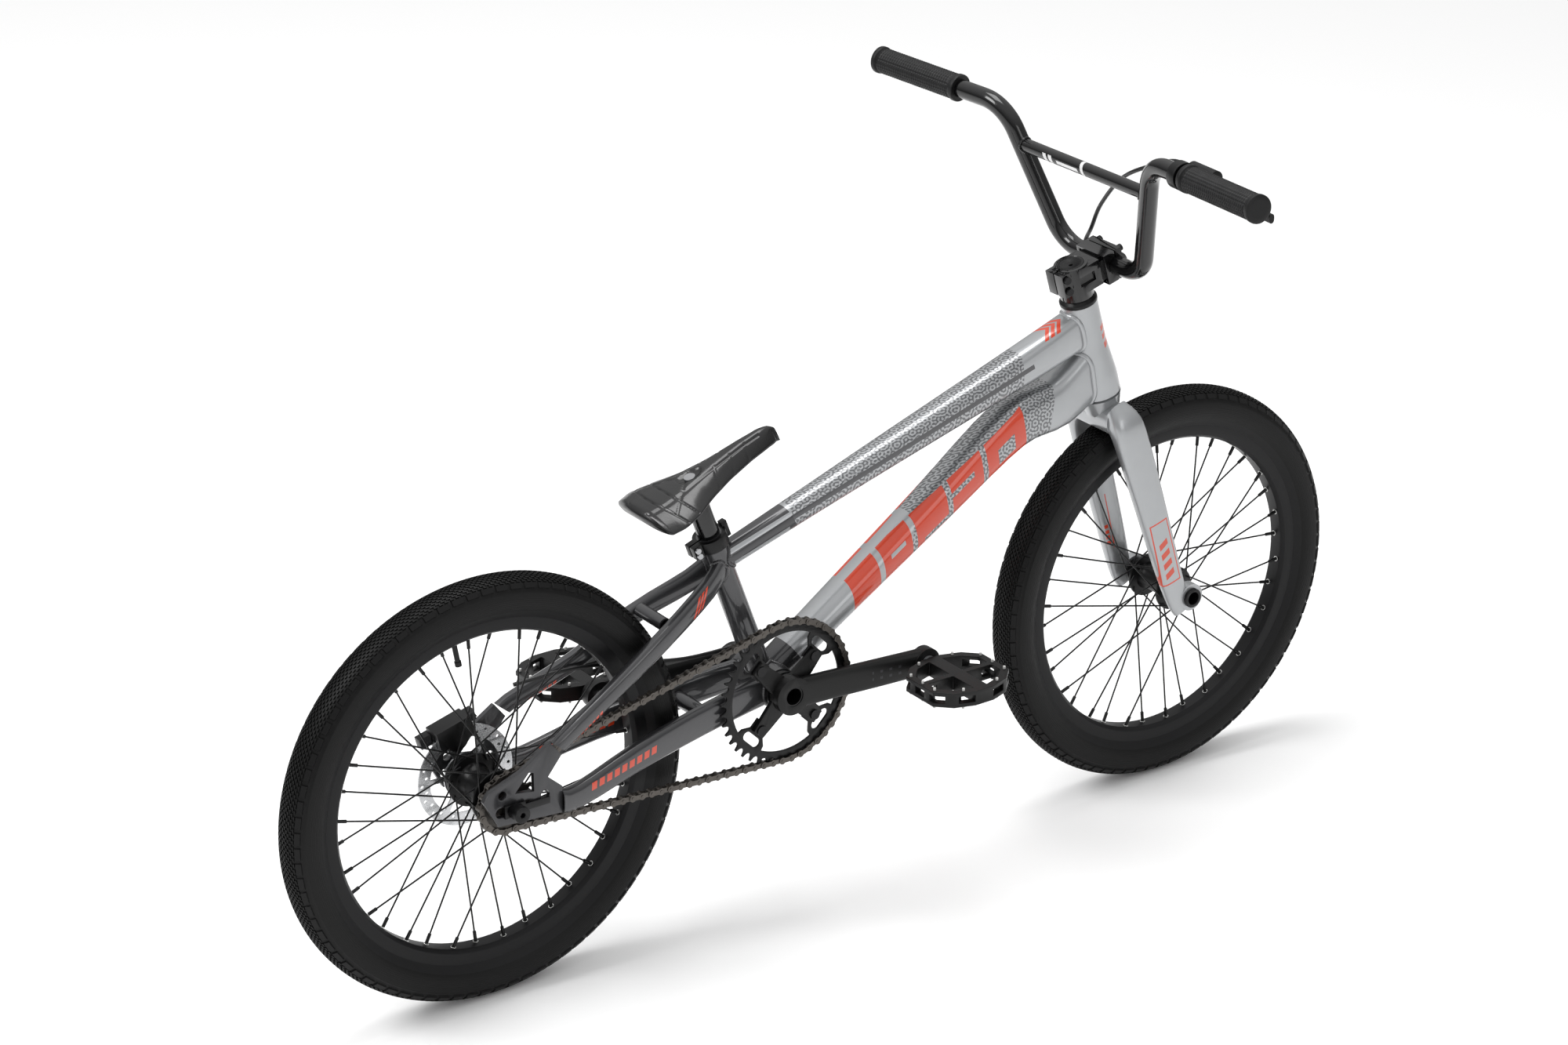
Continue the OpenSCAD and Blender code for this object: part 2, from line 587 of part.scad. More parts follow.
// The axle's y axis is flipped here, so the rotor side comes first.
rear_hub_profile = concat([[2, -rear_end_y], [9, -rear_end_y], [9, -rotor_y - rotor_t / 2 - 3],
  [rotor_bore_r - joint_gap, -rotor_y - rotor_t / 2 - 1], [rotor_bore_r - joint_gap, -rotor_seat_y],
  [rotor_bolt_r + 4, -rotor_seat_y], [rotor_bolt_r + 4, -rotor_seat_y + 4]],
  [[18, -flange_y - flange_t / 2 - 4], [rear_flange_r + 4, -flange_y - flange_t / 2],
  [rear_flange_r + 4, -flange_y + flange_t / 2], [rear_flange_r - 6, -flange_y + flange_t / 2],
  [17, -flange_y + 12], [17, flange_y - 12], [rear_flange_r - 6, flange_y - flange_t / 2],
  [rear_flange_r + 4, flange_y - flange_t / 2], [rear_flange_r + 4, flange_y + flange_t / 2],
  [19, flange_y + flange_t / 2 + 3], [19, -drive_y], [2, -drive_y]]);
module front_hub() translate(front) hub(front_flange_r, front_hub_profile, front_axle_r + shaft_gap);
module rear_hub() translate(rear) difference() {
  hub(rear_flange_r, rear_hub_profile, axle_r + shaft_gap);
  for (k = [0 : 5]) rotate([0, 60 * k + 30, 0]) translate([rotor_bolt_r, rotor_y, 0])
    rotate([90, 0, 0]) cylinder(h = 16, r = 2.5 + joint_gap, center = true);
}

// ---------- Steering parts ----------
crown_s = fork_h - joint_gap;
race_h = 3;
leg_y = front_hub_w / 2 + 6;
function leg_path(side) = [
  concat(steer_pt(0, side * 24, crown_s - 22), [19, 14, 0.7]),
  concat(steer_pt(1, side * 38, crown_s - 36), [13, 21, 0.6]),
  concat(steer_pt(2, side * 44, crown_s - 70), [9.5, 22, 0.6]),
  concat(steer_pt(5, side * 47, 150), [9, 20, 0.6]),
  concat(steer_pt(8, side * 50, 60), [8.5, 17, 0.6]),
  concat(steer_pt(11, side * leg_y, 8), [6, 15, 0.65]),
  concat(steer_pt(14, side * leg_y, -12), [5.5, 12, 0.7])];
module fork() color("silver") difference() {
  union() {
    for (side = [-1, 1]) {
      skin_leg(leg_path(side));
      across(front + [0, side * leg_y, 0], 12, 17);
    }
    steer(0, 0, crown_s - race_h - 28) cylinder(h = 28, r1 = 19, r2 = head_low_r);
    steer(0, 0, crown_s - race_h - 30) rotate([90, 0, 0]) cylinder(h = 62, r = 20, center = true);
  }
  across(front, 200, front_axle_r + shaft_gap);
  steer(0, 0, crown_s - race_h - 27) cylinder(h = 60, r = steerer_d / 2 + joint_gap);
  across(front, 2 * (tyre_half_w + 6), tyre_r + 7);
  across(front, front_hub_w, 30);
}
// Fork legs run down the steering axis, so their rings turn about the across direction.
module skin_leg(controls) {
  path = curve(controls, 4);
  pts = [for (v = path) xyz(v)];
  skin([for (i = [0 : len(path) - 1])
    let (t = tangent(pts, i), b = unit(cross(steer_n, t)), n = cross(t, b))
    [for (q = oval(path[i][3], path[i][4], path[i][5], 24)) pts[i] + q[0] * b + q[1] * n]]);
}
steerer_top_s = stem_low_s + stem_h - 4;
module steerer() color("gray") steer(0, 0, crown_s - race_h - 27 + joint_gap) difference() {
  cylinder(h = steerer_top_s - crown_s + race_h + 27, r = steerer_d / 2);
  translate([0, 0, -1]) cylinder(h = 400, r = steerer_d / 2 - 2.4);
}
module crown_race() color("#28282a") steer(0, 0, crown_s - race_h + joint_gap)
  ring_solid(steerer_d / 2 + joint_gap, head_low_r - 4, race_h - run_gap);
module headset_cover() color("#1c1c1e") steer(0, 0, head_top_s + run_gap)
  rotate_extrude() polygon([[steerer_d / 2 + joint_gap, 0], [head_top_r + 0.5, 0],
    [head_top_r + 0.5, 4], [head_top_r - 4, cover_h - run_gap], [steerer_d / 2 + joint_gap, cover_h - run_gap]]);

stem_w = 50;
plate_gap = 1.5;
plate_h = 38;
plate_bolt_z = bar_d / 2 + 3.2;
pinch_bolt_n = -20;
pinch_bolt_zs = [19, 34];
module stem_bar_block(n0, n1, h) translate([n0, -stem_w / 2, bar_clamp_h - h / 2])
  cube([n1 - n0, stem_w, h]);
module stem() color("#1c1c1e") steer(0, 0, stem_low_s) difference() {
  union() {
    cylinder(h = stem_h, r = 20);
    translate([-26, -15, 12]) cube([26, 30, stem_h - 13]);
    translate([0, -20, 8]) cube([stem_reach - 12, 40, stem_h - 10]);
    stem_bar_block(stem_reach - 16, stem_reach - plate_gap / 2, plate_h);
  }
  translate([0, 0, -1]) cylinder(h = stem_h - 2, r = steerer_d / 2 + joint_gap);
  translate([0, 0, -1]) cylinder(h = stem_h + 3, r = 6);
  translate([0, 0, stem_h - 3 - joint_gap]) cylinder(h = 3 + 1, r1 = 13, r2 = 17);
  translate([stem_reach, 0, bar_clamp_h]) rotate([90, 0, 0])
    cylinder(h = stem_w + 2, r = bar_d / 2 + joint_gap, center = true);
  translate([-30, -1, -1]) cube([30, 2, stem_h + 2]);
  for (side = [-1, 1]) translate([6, side * 20, stem_h / 2 + 3]) cube([22, 8, 12], center = true);
  for (z = pinch_bolt_zs) translate([pinch_bolt_n, 0, z]) rotate([90, 0, 0])
    cylinder(h = 60, r = 2.6, center = true);
  stem_bolt_places() cylinder(h = 60, r = 2.6, center = true);
}
module stem_bolt_places() for (side = [-1, 1], z = [-plate_bolt_z, plate_bolt_z])
  translate([stem_reach + 10, side * 18, bar_clamp_h + z]) rotate([0, 90, 0]) children();
module stem_faceplate() color("#1c1c1e") steer(0, 0, stem_low_s) difference() {
  union() {
    stem_bar_block(stem_reach + plate_gap / 2, stem_reach + 10, plate_h);
    translate([stem_reach, 0, bar_clamp_h]) rotate([90, 0, 0])
      cylinder(h = stem_w, r = bar_d / 2 + 4.5, center = true);
  }
  translate([stem_reach - 30 + plate_gap / 2, -40, -10]) cube([30, 80, 80]);
  translate([stem_reach, 0, bar_clamp_h]) rotate([90, 0, 0])
    cylinder(h = stem_w + 2, r = bar_d / 2 + joint_gap, center = true);
  stem_bolt_places() cylinder(h = 60, r = 2.6, center = true);
  stem_bolt_places() cylinder(h = 20, r = 4.2 + joint_gap);
}
module stem_bolts() color("#2a2a2c") steer(0, 0, stem_low_s) {
  stem_bolt_places() {
    translate([0, 0, joint_gap]) cylinder(h = 5, r = 4.2);
    translate([0, 0, -24]) cylinder(h = 25, r = 2.5);
  }
  for (z = pinch_bolt_zs) translate([pinch_bolt_n, 0, z]) rotate([90, 0, 0]) {
    cylinder(h = 30, r = 2.5, center = true);
    translate([0, 0, 15 + joint_gap]) cylinder(h = 3.5, r = 4.4);
    translate([0, 0, 14]) cylinder(h = 2, r = 2.5);
  }
}
module top_cap() color("#1c1c1e") steer(0, 0, stem_low_s + stem_h) difference() {
  union() {
    translate([0, 0, -3]) cylinder(h = 3, r1 = 12.8, r2 = 15.7);
    translate([0, 0, -16]) cylinder(h = 14, r = 4);
  }
  translate([0, 0, -2.2]) cylinder(h = 4, r1 = 6, r2 = 18);
  translate([0, 0, -8]) cylinder(h = 10, r = 2.6, $fn = 6);
}

// ---------- Handlebar ----------
bar_r = bar_d / 2;
bar_lean = (bar_cross_half - bar_low_half) / crossbar_h;
bar_top_y = bar_low_half + bar_lean * bar_rise;
bar_back = 6.1;
bar_up = 3.9;
bar_wall = 1.6;
bar_low = 42;
bar_bend = 50;
function bar_top(side) = steer_pt(stem_reach, side * bar_top_y, clamp_s + bar_rise);
function bar_end(side, l) = bar_top(side)
  + l * ([0, side * cos(bar_back), 0] - sin(bar_back) * steer_n + sin(bar_up) * steer_u);
bar_reach = (bar_w / 2 - bar_top_y) / cos(bar_back);
function bar_point(side, from_end) = bar_end(side, bar_reach - from_end);
function bar_corner(side) = steer_pt(stem_reach, side * bar_low_half, clamp_s);
bar_points = [bar_point(-1, 0), bar_top(-1), bar_corner(-1), bar_corner(1), bar_top(1), bar_point(1, 0)];
bar_bends = [0, bar_bend, bar_low, bar_low, bar_bend, 0];
module handlebar() color("#141416") difference() {
  union() {
    bent_tube(bar_points, bar_bends, bar_r);
    translate(steer_pt(stem_reach, 0, clamp_s + crossbar_h)) rotate([90, 0, 0])
      cylinder(h = 2 * bar_cross_half, r = crossbar_d / 2, center = true);
  }
  bent_tube(bar_points, bar_bends, bar_r - bar_wall);
}
module grip(side) color("#1a1a1a") along(bar_point(side, -3), bar_point(side, 30)) difference() {
  rotate_extrude() polygon([[0, 0], [grip_d / 2, 0], [grip_d / 2 + 1, 1.5], [grip_d / 2 + 1, 6],
    [grip_d / 2, 7], [grip_d / 2, grip_l - 8], [grip_d / 2 + 1, grip_l - 7],
    [grip_d / 2 + 1, grip_l], [0, grip_l]]);
  translate([0, 0, 3]) cylinder(h = grip_l, r = bar_r + joint_gap);
}

// ---------- Brake lever ----------
// The lever moves in a plane through the bar, tilted down ahead of it: e is ahead, w square to it.
lever_tilt = 48;
lever_e = cos(lever_tilt) * steer_n - sin(lever_tilt) * steer_u;
lever_w = sin(lever_tilt) * steer_n + cos(lever_tilt) * steer_u;
function lever_pt(from_end, e, w) = bar_point(-1, from_end) + e * lever_e + w * lever_w;
lever_from_end = grip_l + 1;
body_e = 25;
body_w = 14;
body_r = 8.5;
pivot_e = 34;
pivot_r = 6.5;
lever_pin_r = 2.5;
lever_half_t = 4;
cheek_t = 5;
lever_pivot = lever_pt(lever_from_end - 10, pivot_e, 0);
module at_lever_pivot() translate(lever_pivot) rotate([0, head_angle - 90 + lever_tilt, 0]) children();
module lever_housing() color("#1c1c1e") difference() {
  union() {
    rod(lever_pt(lever_from_end, 0, 0), lever_pt(lever_from_end + lever_clamp_w, 0, 0), bar_r + 5);
    rod(lever_pt(lever_from_end + 24, body_e, body_w), lever_pt(lever_from_end - 22, body_e, body_w), body_r);
    rod(lever_pt(lever_from_end + 7, 6, 6), lever_pt(lever_from_end + 7, body_e, body_w), 6);
    for (side = [-1, 1]) at_lever_pivot()
      translate([0, 0, side * (lever_half_t + run_gap + cheek_t / 2)])
        cylinder(h = cheek_t, r = pivot_r + 1.5, center = true);
    at_lever_pivot() translate([-pivot_r - 9, -7, -lever_half_t - run_gap - cheek_t])
      cube([7, 14, 2 * (lever_half_t + run_gap + cheek_t)]);
    at_lever_pivot() for (side = [-1, 1])
      translate([-pivot_r - 9, -7, side * (lever_half_t + run_gap + cheek_t / 2) - cheek_t / 2])
        cube([pivot_r + 9, 14, cheek_t]);
  }
  rod(lever_pt(lever_from_end - 60, 0, 0), lever_pt(lever_from_end + 60, 0, 0), bar_r + joint_gap);
  at_lever_pivot() cylinder(h = 40, r = lever_pin_r + shaft_gap, center = true);
}
module brake_lever() color("#141416") {
  at_lever_pivot() {
    cylinder(h = 2 * lever_half_t, r = pivot_r, center = true);
    cylinder(h = 2 * (lever_half_t + cheek_t), r = lever_pin_r, center = true);
  }
  loft([concat(lever_pivot + 2 * lever_e, [3.6, 3, 0.8]),
    concat(lever_pt(lever_from_end - 26, pivot_e + 15, 0), [3.6, 3, 0.8]),
    concat(lever_pt(75, pivot_e + 23, 0), [3.4, 4.5, 0.8]),
    concat(lever_pt(50, pivot_e + 19, 0), [3.2, 5.5, 0.8]),
    concat(lever_pt(31, pivot_e + 20, 0), [3.4, 5.5, 0.8])], 3, 14);
}

front_cap_y = front_hub_w / 2 + 12 + joint_gap;
module front_axle() color("#1c1c1e") translate(front) difference() {
  union() {
    across([0, 0, 0], 2 * front_cap_y, front_axle_r);
    for (side = [-1, 1]) across([0, side * (front_cap_y + 2), 0], 4, 12);
  }
  across([0, 0, 0], 2 * front_cap_y + 10, front_axle_r - 2);
}

// ---------- Sprockets and chain ----------
roller_r = 3.85;
roller_w = 3.4;
tooth_w = 2.6;
plate_t = 1.1;
valley_r = roller_r + 0.3;
function pitch_r(teeth) = chain_pitch / (2 * sin(180 / teeth));
ring_r = pitch_r(ring_teeth);
cog_r = pitch_r(cog_teeth);
drive_angle = atan2(bb_rise, bb[0] - rear[0]);
drive_lean = asin((ring_r - cog_r) / chain_stay_l);
run_l = sqrt(pow(chain_stay_l, 2) - pow(ring_r - cog_r, 2));
leave_angle = drive_angle + 90 + drive_lean;
ring_step = 360 / ring_teeth;
cog_step = 360 / cog_teeth;
upper_links = ceil(run_l / chain_pitch);
cog_start = leave_angle + (upper_links * chain_pitch - run_l) / cog_r * 180 / PI;
ring_last = ceil((180 + 2 * drive_lean) / ring_step);
cog_last = ceil((leave_angle + 180 - 2 * drive_lean - cog_start) / cog_step);
function on_circle(c, r, a) = c + [r * cos(a), 0, r * sin(a)];
function ring_roller(k) = on_circle(bb, ring_r, leave_angle - k * ring_step);
function cog_roller(k) = on_circle(rear, cog_r, cog_start + k * cog_step);
// Inner and outer links take turns, so the lower run makes their number even.
other_links = ring_last + cog_last + upper_links;
lower_l = norm(ring_roller(ring_last) - cog_roller(cog_last)) / chain_pitch;
lower_links = other_links % 2 + 2 * round((lower_l - other_links % 2) / 2);
function between(a, b, n) = n < 2 ? [] : [for (i = [1 : n - 1]) a + (b - a) * i / n];
rollers = concat([for (k = [0 : ring_last]) ring_roller(k)],
  between(ring_roller(ring_last), cog_roller(cog_last), lower_links),
  [for (k = [cog_last : -1 : 0]) cog_roller(k)],
  between(cog_roller(0), ring_roller(0), upper_links));

// Toothed outline with its first valley at angle start.
module sprocket(teeth, start) {
  r = pitch_r(teeth);
  tip = r + 3.4;
  half = 180 / teeth - asin(1 / tip);
  polygon([for (k = [0 : teeth - 1]) let (a = start + 360 * k / teeth)
    each concat([tip * [cos(a - half), sin(a - half)]],
      [for (b = [-66 : 33 : 66]) (r - valley_r * cos(b)) * [cos(a), sin(a)]
        + valley_r * sin(b) * [-sin(a), cos(a)]],
      [tip * [cos(a + half), sin(a + half)]])]);
}

module link_outline(l) {
  circle(r = 4.2);
  translate([l, 0]) circle(r = 4.2);
  translate([0, -2.9]) square([l, 5.8]);
}
module side_plate(l, y) translate([0, y, 0]) rotate([90, 0, 0])
  linear_extrude(plate_t, center = true) link_outline(l);
inner_y = (roller_w + plate_t) / 2;
outer_y = inner_y + plate_t + joint_gap;
pin_l = 2 * outer_y + plate_t + 1;
module inner_link(l) difference() {
  union() {
    for (side = [-1, 1]) side_plate(l, side * inner_y);
    for (x = [0, l]) across([x, 0, 0], roller_w, roller_r);
  }
  for (x = [0, l]) across([x, 0, 0], 20, 1.9);
}
module outer_link(l) {
  for (side = [-1, 1]) side_plate(l, side * outer_y);
  for (x = [0, l]) across([x, 0, 0], pin_l, 1.8);
}
module chain() color("#6f675f") for (i = [0 : len(rollers) - 1]) {
  a = rollers[i];
  b = rollers[(i + 1) % len(rollers)];
  v = b - a;
  translate([a[0], -chain_line, a[2]]) rotate([0, -atan2(v[2], v[0]), 0]) {
    if (i % 2 == 0) outer_link(norm(v));
    else inner_link(norm(v));
  }
}

driver_r = 15;
module rear_cog() color("#2c2a28") translate(rear) {
  difference() {
    across([0, (drive_y - run_gap - rear_end_y) / 2, 0], rear_end_y + drive_y - run_gap, driver_r);
    across([0, -30, 0], 80, axle_r + shaft_gap);
  }
  difference() {
    translate([0, cog_y, 0]) rotate([90, 0, 0]) linear_extrude(tooth_w, center = true)
      sprocket(cog_teeth, cog_start);
    across([0, cog_y, 0], 10, driver_r + joint_gap);
  }
}

// ---------- Cranks ----------
ring_y = -chain_line;
spider_y = ring_y - tooth_w / 2 - joint_gap;
spider_t = 5;
spider_r = 58;
bolt_circle_r = 52;
spider_angle = 45;
boss_r = 20.5;
boss_y = 63;
eye_y = 80;
eye_t = 13;
eye_r = 17;
spindle_r = spindle_d / 2;
function crank_pt(side, l, y) = bb - side * l * [cos(crank_angle), 0, sin(crank_angle)] + [0, side * y, 0];
module crank_bar(side) {
  loft([concat(crank_pt(side, 0, 57), [6, 19, 0.6]),
    concat(crank_pt(side, 40, 59), [6.5, 17.5, 0.55]),
    concat(crank_pt(side, 110, 67), [6.5, 17, 0.55]),
    concat(crank_pt(side, crank_l - 2, eye_y - eye_t / 2), [6.4, 16.5, 0.6])], 4, 24);
  across(crank_pt(side, 0, boss_y - 6.5), 13, boss_r);
  across(crank_pt(side, crank_l, eye_y - eye_t / 2), eye_t, eye_r);
}
module crank_holes(side) {
  across(crank_pt(side, 0, 60), 60, spindle_r + joint_gap);
  across(crank_pt(side, crank_l, eye_y), 50, pedal_thread_r + joint_gap);
}
pedal_thread_r = 7.1;
module crank_right() color("#232325") difference() {
  union() {
    crank_bar(-1);
    across(bb + [0, (spider_y - boss_y) / 2, 0], boss_y + spider_y, boss_r + 2);
    translate(bb + [0, spider_y, 0]) rotate([90, 0, 0]) linear_extrude(spider_t)
      for (k = [0 : 3]) rotate(spider_angle + 90 * k)
        polygon([[10, -13], [40, -10], [spider_r, -8], [spider_r, 8], [40, 10], [10, 13]]);
  }
  crank_holes(-1);
  ring_bolt_places() cylinder(h = 40, r = 4 + joint_gap, center = true);
}
module crank_left() color("#232325") difference() {
  crank_bar(1);
  crank_holes(1);
}
module crank_spindle() color("silver") difference() {
  across(bb, 2 * boss_y - 1, spindle_r);
  across(bb, 2 * boss_y + 2, spindle_bore_r);
}
spindle_bore_r = 10;
module ring_bolt_places() translate(bb + [0, spider_y, 0]) rotate([90, 0, 0])
  for (k = [0 : 3]) rotate(spider_angle + 90 * k) translate([bolt_circle_r, 0, 0]) children();
module chainring() color("#1e1e20") translate(bb + [0, ring_y, 0]) rotate([90, 0, 0])
  linear_extrude(tooth_w, center = true) difference() {
    sprocket(ring_teeth, leave_angle);
    circle(r = 44);
    difference() {
      circle(r = ring_r - 12);
      circle(r = 40);
      for (k = [0 : 3]) rotate(spider_angle + 90 * k)
        polygon([[30, -11], [56, -11], [64, -20], [ring_r, -26], [ring_r, 26], [64, 20], [56, 11], [30, 11]]);
    }
    for (k = [0 : 3]) rotate(spider_angle + 90 * k) {
      translate([bolt_circle_r, 0]) circle(r = 4 + joint_gap);
      translate([ring_r - 18.5, 0]) rotate(90) slot_outline(16, 5.5);
    }
  }
module chainring_bolts() color("#2a2a2c") ring_bolt_places() {
  translate([0, 0, spider_t + joint_gap]) cylinder(h = 1.6, r = 6);
  translate([0, 0, -tooth_w - 1]) cylinder(h = spider_t + tooth_w + 2, r = 4);
}

// ---------- Pedals ----------
pedal_r = 8;
pedal_h = 18;
pedal_pin_h = 3.4;
pedal_in_y = eye_y + 6;
module pedal_spindles() color("silver") for (side = [-1, 1]) {
  across(crank_pt(side, crank_l, eye_y - eye_t / 2), eye_t - 1, pedal_thread_r);
  across(crank_pt(side, crank_l, eye_y + 2.5), 4, 9);
  across(crank_pt(side, crank_l, eye_y + (pedal_w - 4) / 2), pedal_w + 2, 5);
}
// Eight-sided platform outline with a window on each side of the barrel.
module pedal_outline(l, w) polygon([for (q = [[0.5, -0.25], [0.5, 0.25], [0.34, 0.42], [0.12, 0.5],
  [-0.12, 0.5], [-0.34, 0.42], [-0.5, 0.25], [-0.5, -0.25], [-0.34, -0.42], [-0.12, -0.5],
  [0.12, -0.5], [0.34, -0.42]]) [q[0] * l, q[1] * w]]);
pedal_rim = 9;
module pedal_windows() difference() {
  pedal_outline(pedal_l - 2 * pedal_rim, pedal_w - 2 * pedal_rim);
  square([2 * pedal_r + 2, pedal_w], center = true);
  square([pedal_l, 7], center = true);
}
module pedal_pin(x, y) for (z = [-1, 1])
  translate([x, y, z * (pedal_h / 2 + joint_gap + pedal_pin_h / 2)])
    cylinder(h = pedal_pin_h, r = 1.6, center = true);
module pedal(side) color("#1c1c1e") translate(crank_pt(side, crank_l, pedal_in_y + pedal_w / 2)) {
  difference() {
    union() {
      linear_extrude(pedal_h, center = true) difference() {
        pedal_outline(pedal_l, pedal_w);
        pedal_windows();
      }
      across([0, 0, 0], pedal_w - 1, pedal_r);
    }
    across([0, -side * 3, 0], pedal_w, 5 + shaft_gap);
  }
  for (x = [-1, 1], y = [-0.22, 0, 0.22]) pedal_pin(x * (pedal_l / 2 - 4.5), y * pedal_w);
  for (x = [-0.22, 0.22], y = [-1, 1]) pedal_pin(x * pedal_l, y * 0.415 * pedal_w);
}

// ---------- Seat ----------
post_show = 66;
post_top_t = seat_tube_l + post_show;
module seat_post() color("#141416") difference() {
  seat_axis(post_top_t - seat_post_l) cylinder(h = seat_post_l, r = seat_post_d / 2);
  seat_axis(post_top_t - seat_post_l - 1) cylinder(h = seat_post_l - 16, r = seat_post_d / 2 - 2.2);
  saddle_frame() translate([bolt_x, 0, -60]) cylinder(h = 100, r = 4 + joint_gap);
}
saddle_h = 22;
socket_l = 30;
bolt_x = -10;
saddle_seat = seat_pt(seat_tube_l + 36, 0) + [-4, 0, 47];
saddle_scale = saddle_l / 192;
saddle_wide = saddle_w / 118;
module saddle_frame() translate(saddle_seat) rotate([0, -saddle_tilt, 0]) children();
// Length station, half width and height of the saddle's crown, tail to nose.
saddle_stations = [[-86, 40, 0], [-80, 54, 1], [-60, 58, 1], [-36, 51, 0], [-8, 36, -1],
  [24, 25, -1], [60, 18.5, 0], [88, 14, -1], [100, 10, -3], [106, 4, -6]];
module saddle_shell() saddle_frame() difference() {
  loft([for (q = saddle_stations) [q[0] * saddle_scale, 0, q[2] - saddle_h / 2,
    q[1] * saddle_wide, saddle_h / 2 - (q[0] > 95 ? 3 : 0), 0.55]], 3, 28);
  translate([bolt_x, 0, -8]) cylinder(h = 20, r = 8);
  translate([bolt_x, 0, -60]) cylinder(h = 100, r = 4 + joint_gap);
}
// The shell's socket slips over the top of the post.
module saddle() color("#101012") difference() {
  saddle_shell();
  seat_axis(post_top_t - socket_l) cylinder(h = socket_l + joint_gap, r = seat_post_d / 2 + joint_gap);
}
module saddle_bolt() color("silver") saddle_frame() translate([bolt_x, 0, 0]) {
  translate([0, 0, -8 + joint_gap]) cylinder(h = 5, r = 6.5);
  translate([0, 0, -34]) cylinder(h = 30, r = 4);
}

// ---------- Brake hose ----------
// From the lever ahead of the bar, down past the stem, inside the down tube and back to the caliper.
hose_points = [[350, -175, 848], [351, -160, 849], [354, -138, 846], [357, -106, 833], [366, -40, 799],
  [380, 15, 749], [390, 44, 709], [394, 58, 690], [388, 60, 668], [371, 55, 637], [350, 47, 606],
  [322, 37, 575], [292, 26, 549], [258, 10, 524], [210, 0, 492], [150, 0, 450], [60, 0, 390], [0, 2, 352],
  [-30, 10, 332], [-58, 24, 321], [-90, 29, 317], [-125, 30, 315], [-160, 30, 315], [-200, 30, 318],
  [-250, 30, 328], [-308, 30, 341], [-360, 31, 346], [-395, 34, 345], [-416, 39, 342]];
module brake_hose() color("#121214") cord(hose_points, 3, hose_d / 2, 8);

head_tube();
top_tube();
down_tube();
seat_tube();
bottom_bracket_shell();
chain_stay(-1);  // chain_stay_right
chain_stay(1);  // chain_stay_left
seat_stay(-1);  // seat_stay_right
seat_stay(1);  // seat_stay_left
stay_bridges();
dropout(-1);  // dropout_right
dropout(1);  // dropout_left
chain_tensioners();
headset_bearings();
bottom_bracket_cups();
seat_clamp();
seat_clamp_bolts();
brake_caliper();
brake_pads();
rear_axle();
brake_hose();
chain();
seat_post();
saddle();
saddle_bolt();
fork();
steerer();
crown_race();
headset_cover();
stem();
stem_faceplate();
stem_bolts();
top_cap();
handlebar();
grip(1);  // grip_left
grip(-1);  // grip_right
lever_housing();
front_axle();
brake_lever();
translate(front) tyre();  // front_tyre
translate(front) rim(front_valve_angle);  // front_rim
translate(front) spokes(front_flange_r);  // front_spokes
front_hub();
translate(front) valve(front_valve_angle);  // front_valve
translate(rear) tyre();  // rear_tyre
translate(rear) rim(rear_valve_angle);  // rear_rim
translate(rear) spokes(rear_flange_r);  // rear_spokes
rear_hub();
translate(rear) valve(rear_valve_angle);  // rear_valve
brake_rotor();
rotor_bolts();
rear_cog();
crank_spindle();
crank_right();
crank_left();
chainring();
chainring_bolts();
pedal_spindles();
pedal(-1);  // pedal_right
pedal(1);  // pedal_left
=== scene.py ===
"""Looks of a BMX race bike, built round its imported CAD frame.

Metres throughout: +X points forward, +Y to the rider's left and +Z up; the floor is z = 0.
"""

import logging
import math
from collections.abc import Callable, Iterable, Sequence
from dataclasses import dataclass
from enum import Enum

import bpy
import numpy as np
from mathutils import Matrix, Vector


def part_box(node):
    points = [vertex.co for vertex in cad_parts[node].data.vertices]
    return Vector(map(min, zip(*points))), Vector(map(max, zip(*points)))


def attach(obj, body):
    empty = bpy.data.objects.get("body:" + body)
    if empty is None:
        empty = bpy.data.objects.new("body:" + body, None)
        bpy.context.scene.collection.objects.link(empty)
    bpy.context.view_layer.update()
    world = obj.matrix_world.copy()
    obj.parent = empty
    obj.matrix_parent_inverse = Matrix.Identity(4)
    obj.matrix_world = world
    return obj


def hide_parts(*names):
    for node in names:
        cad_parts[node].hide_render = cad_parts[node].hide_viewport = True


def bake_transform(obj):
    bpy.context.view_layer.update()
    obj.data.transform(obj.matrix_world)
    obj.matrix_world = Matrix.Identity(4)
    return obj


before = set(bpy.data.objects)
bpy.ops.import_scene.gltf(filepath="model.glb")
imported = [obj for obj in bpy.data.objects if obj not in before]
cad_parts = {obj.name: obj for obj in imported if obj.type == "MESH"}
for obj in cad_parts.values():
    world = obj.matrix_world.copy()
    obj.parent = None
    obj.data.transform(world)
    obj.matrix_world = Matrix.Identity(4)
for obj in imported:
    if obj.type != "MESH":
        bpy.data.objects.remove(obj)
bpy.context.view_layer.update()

log = logging.getLogger("bmx")
MM = 0.001
Rings = list[list[Vector]]
Points = Sequence[Sequence[float]]
TURN = 2 * math.pi


# ---------- Layout ----------


def tilted(angle: float) -> tuple[Vector, Vector]:
    """The forward normal and the upward axis of a line that leans back at an angle in degrees."""
    a = math.radians(angle)
    return Vector((math.sin(a), 0, math.cos(a))), Vector((-math.cos(a), 0, math.sin(a)))


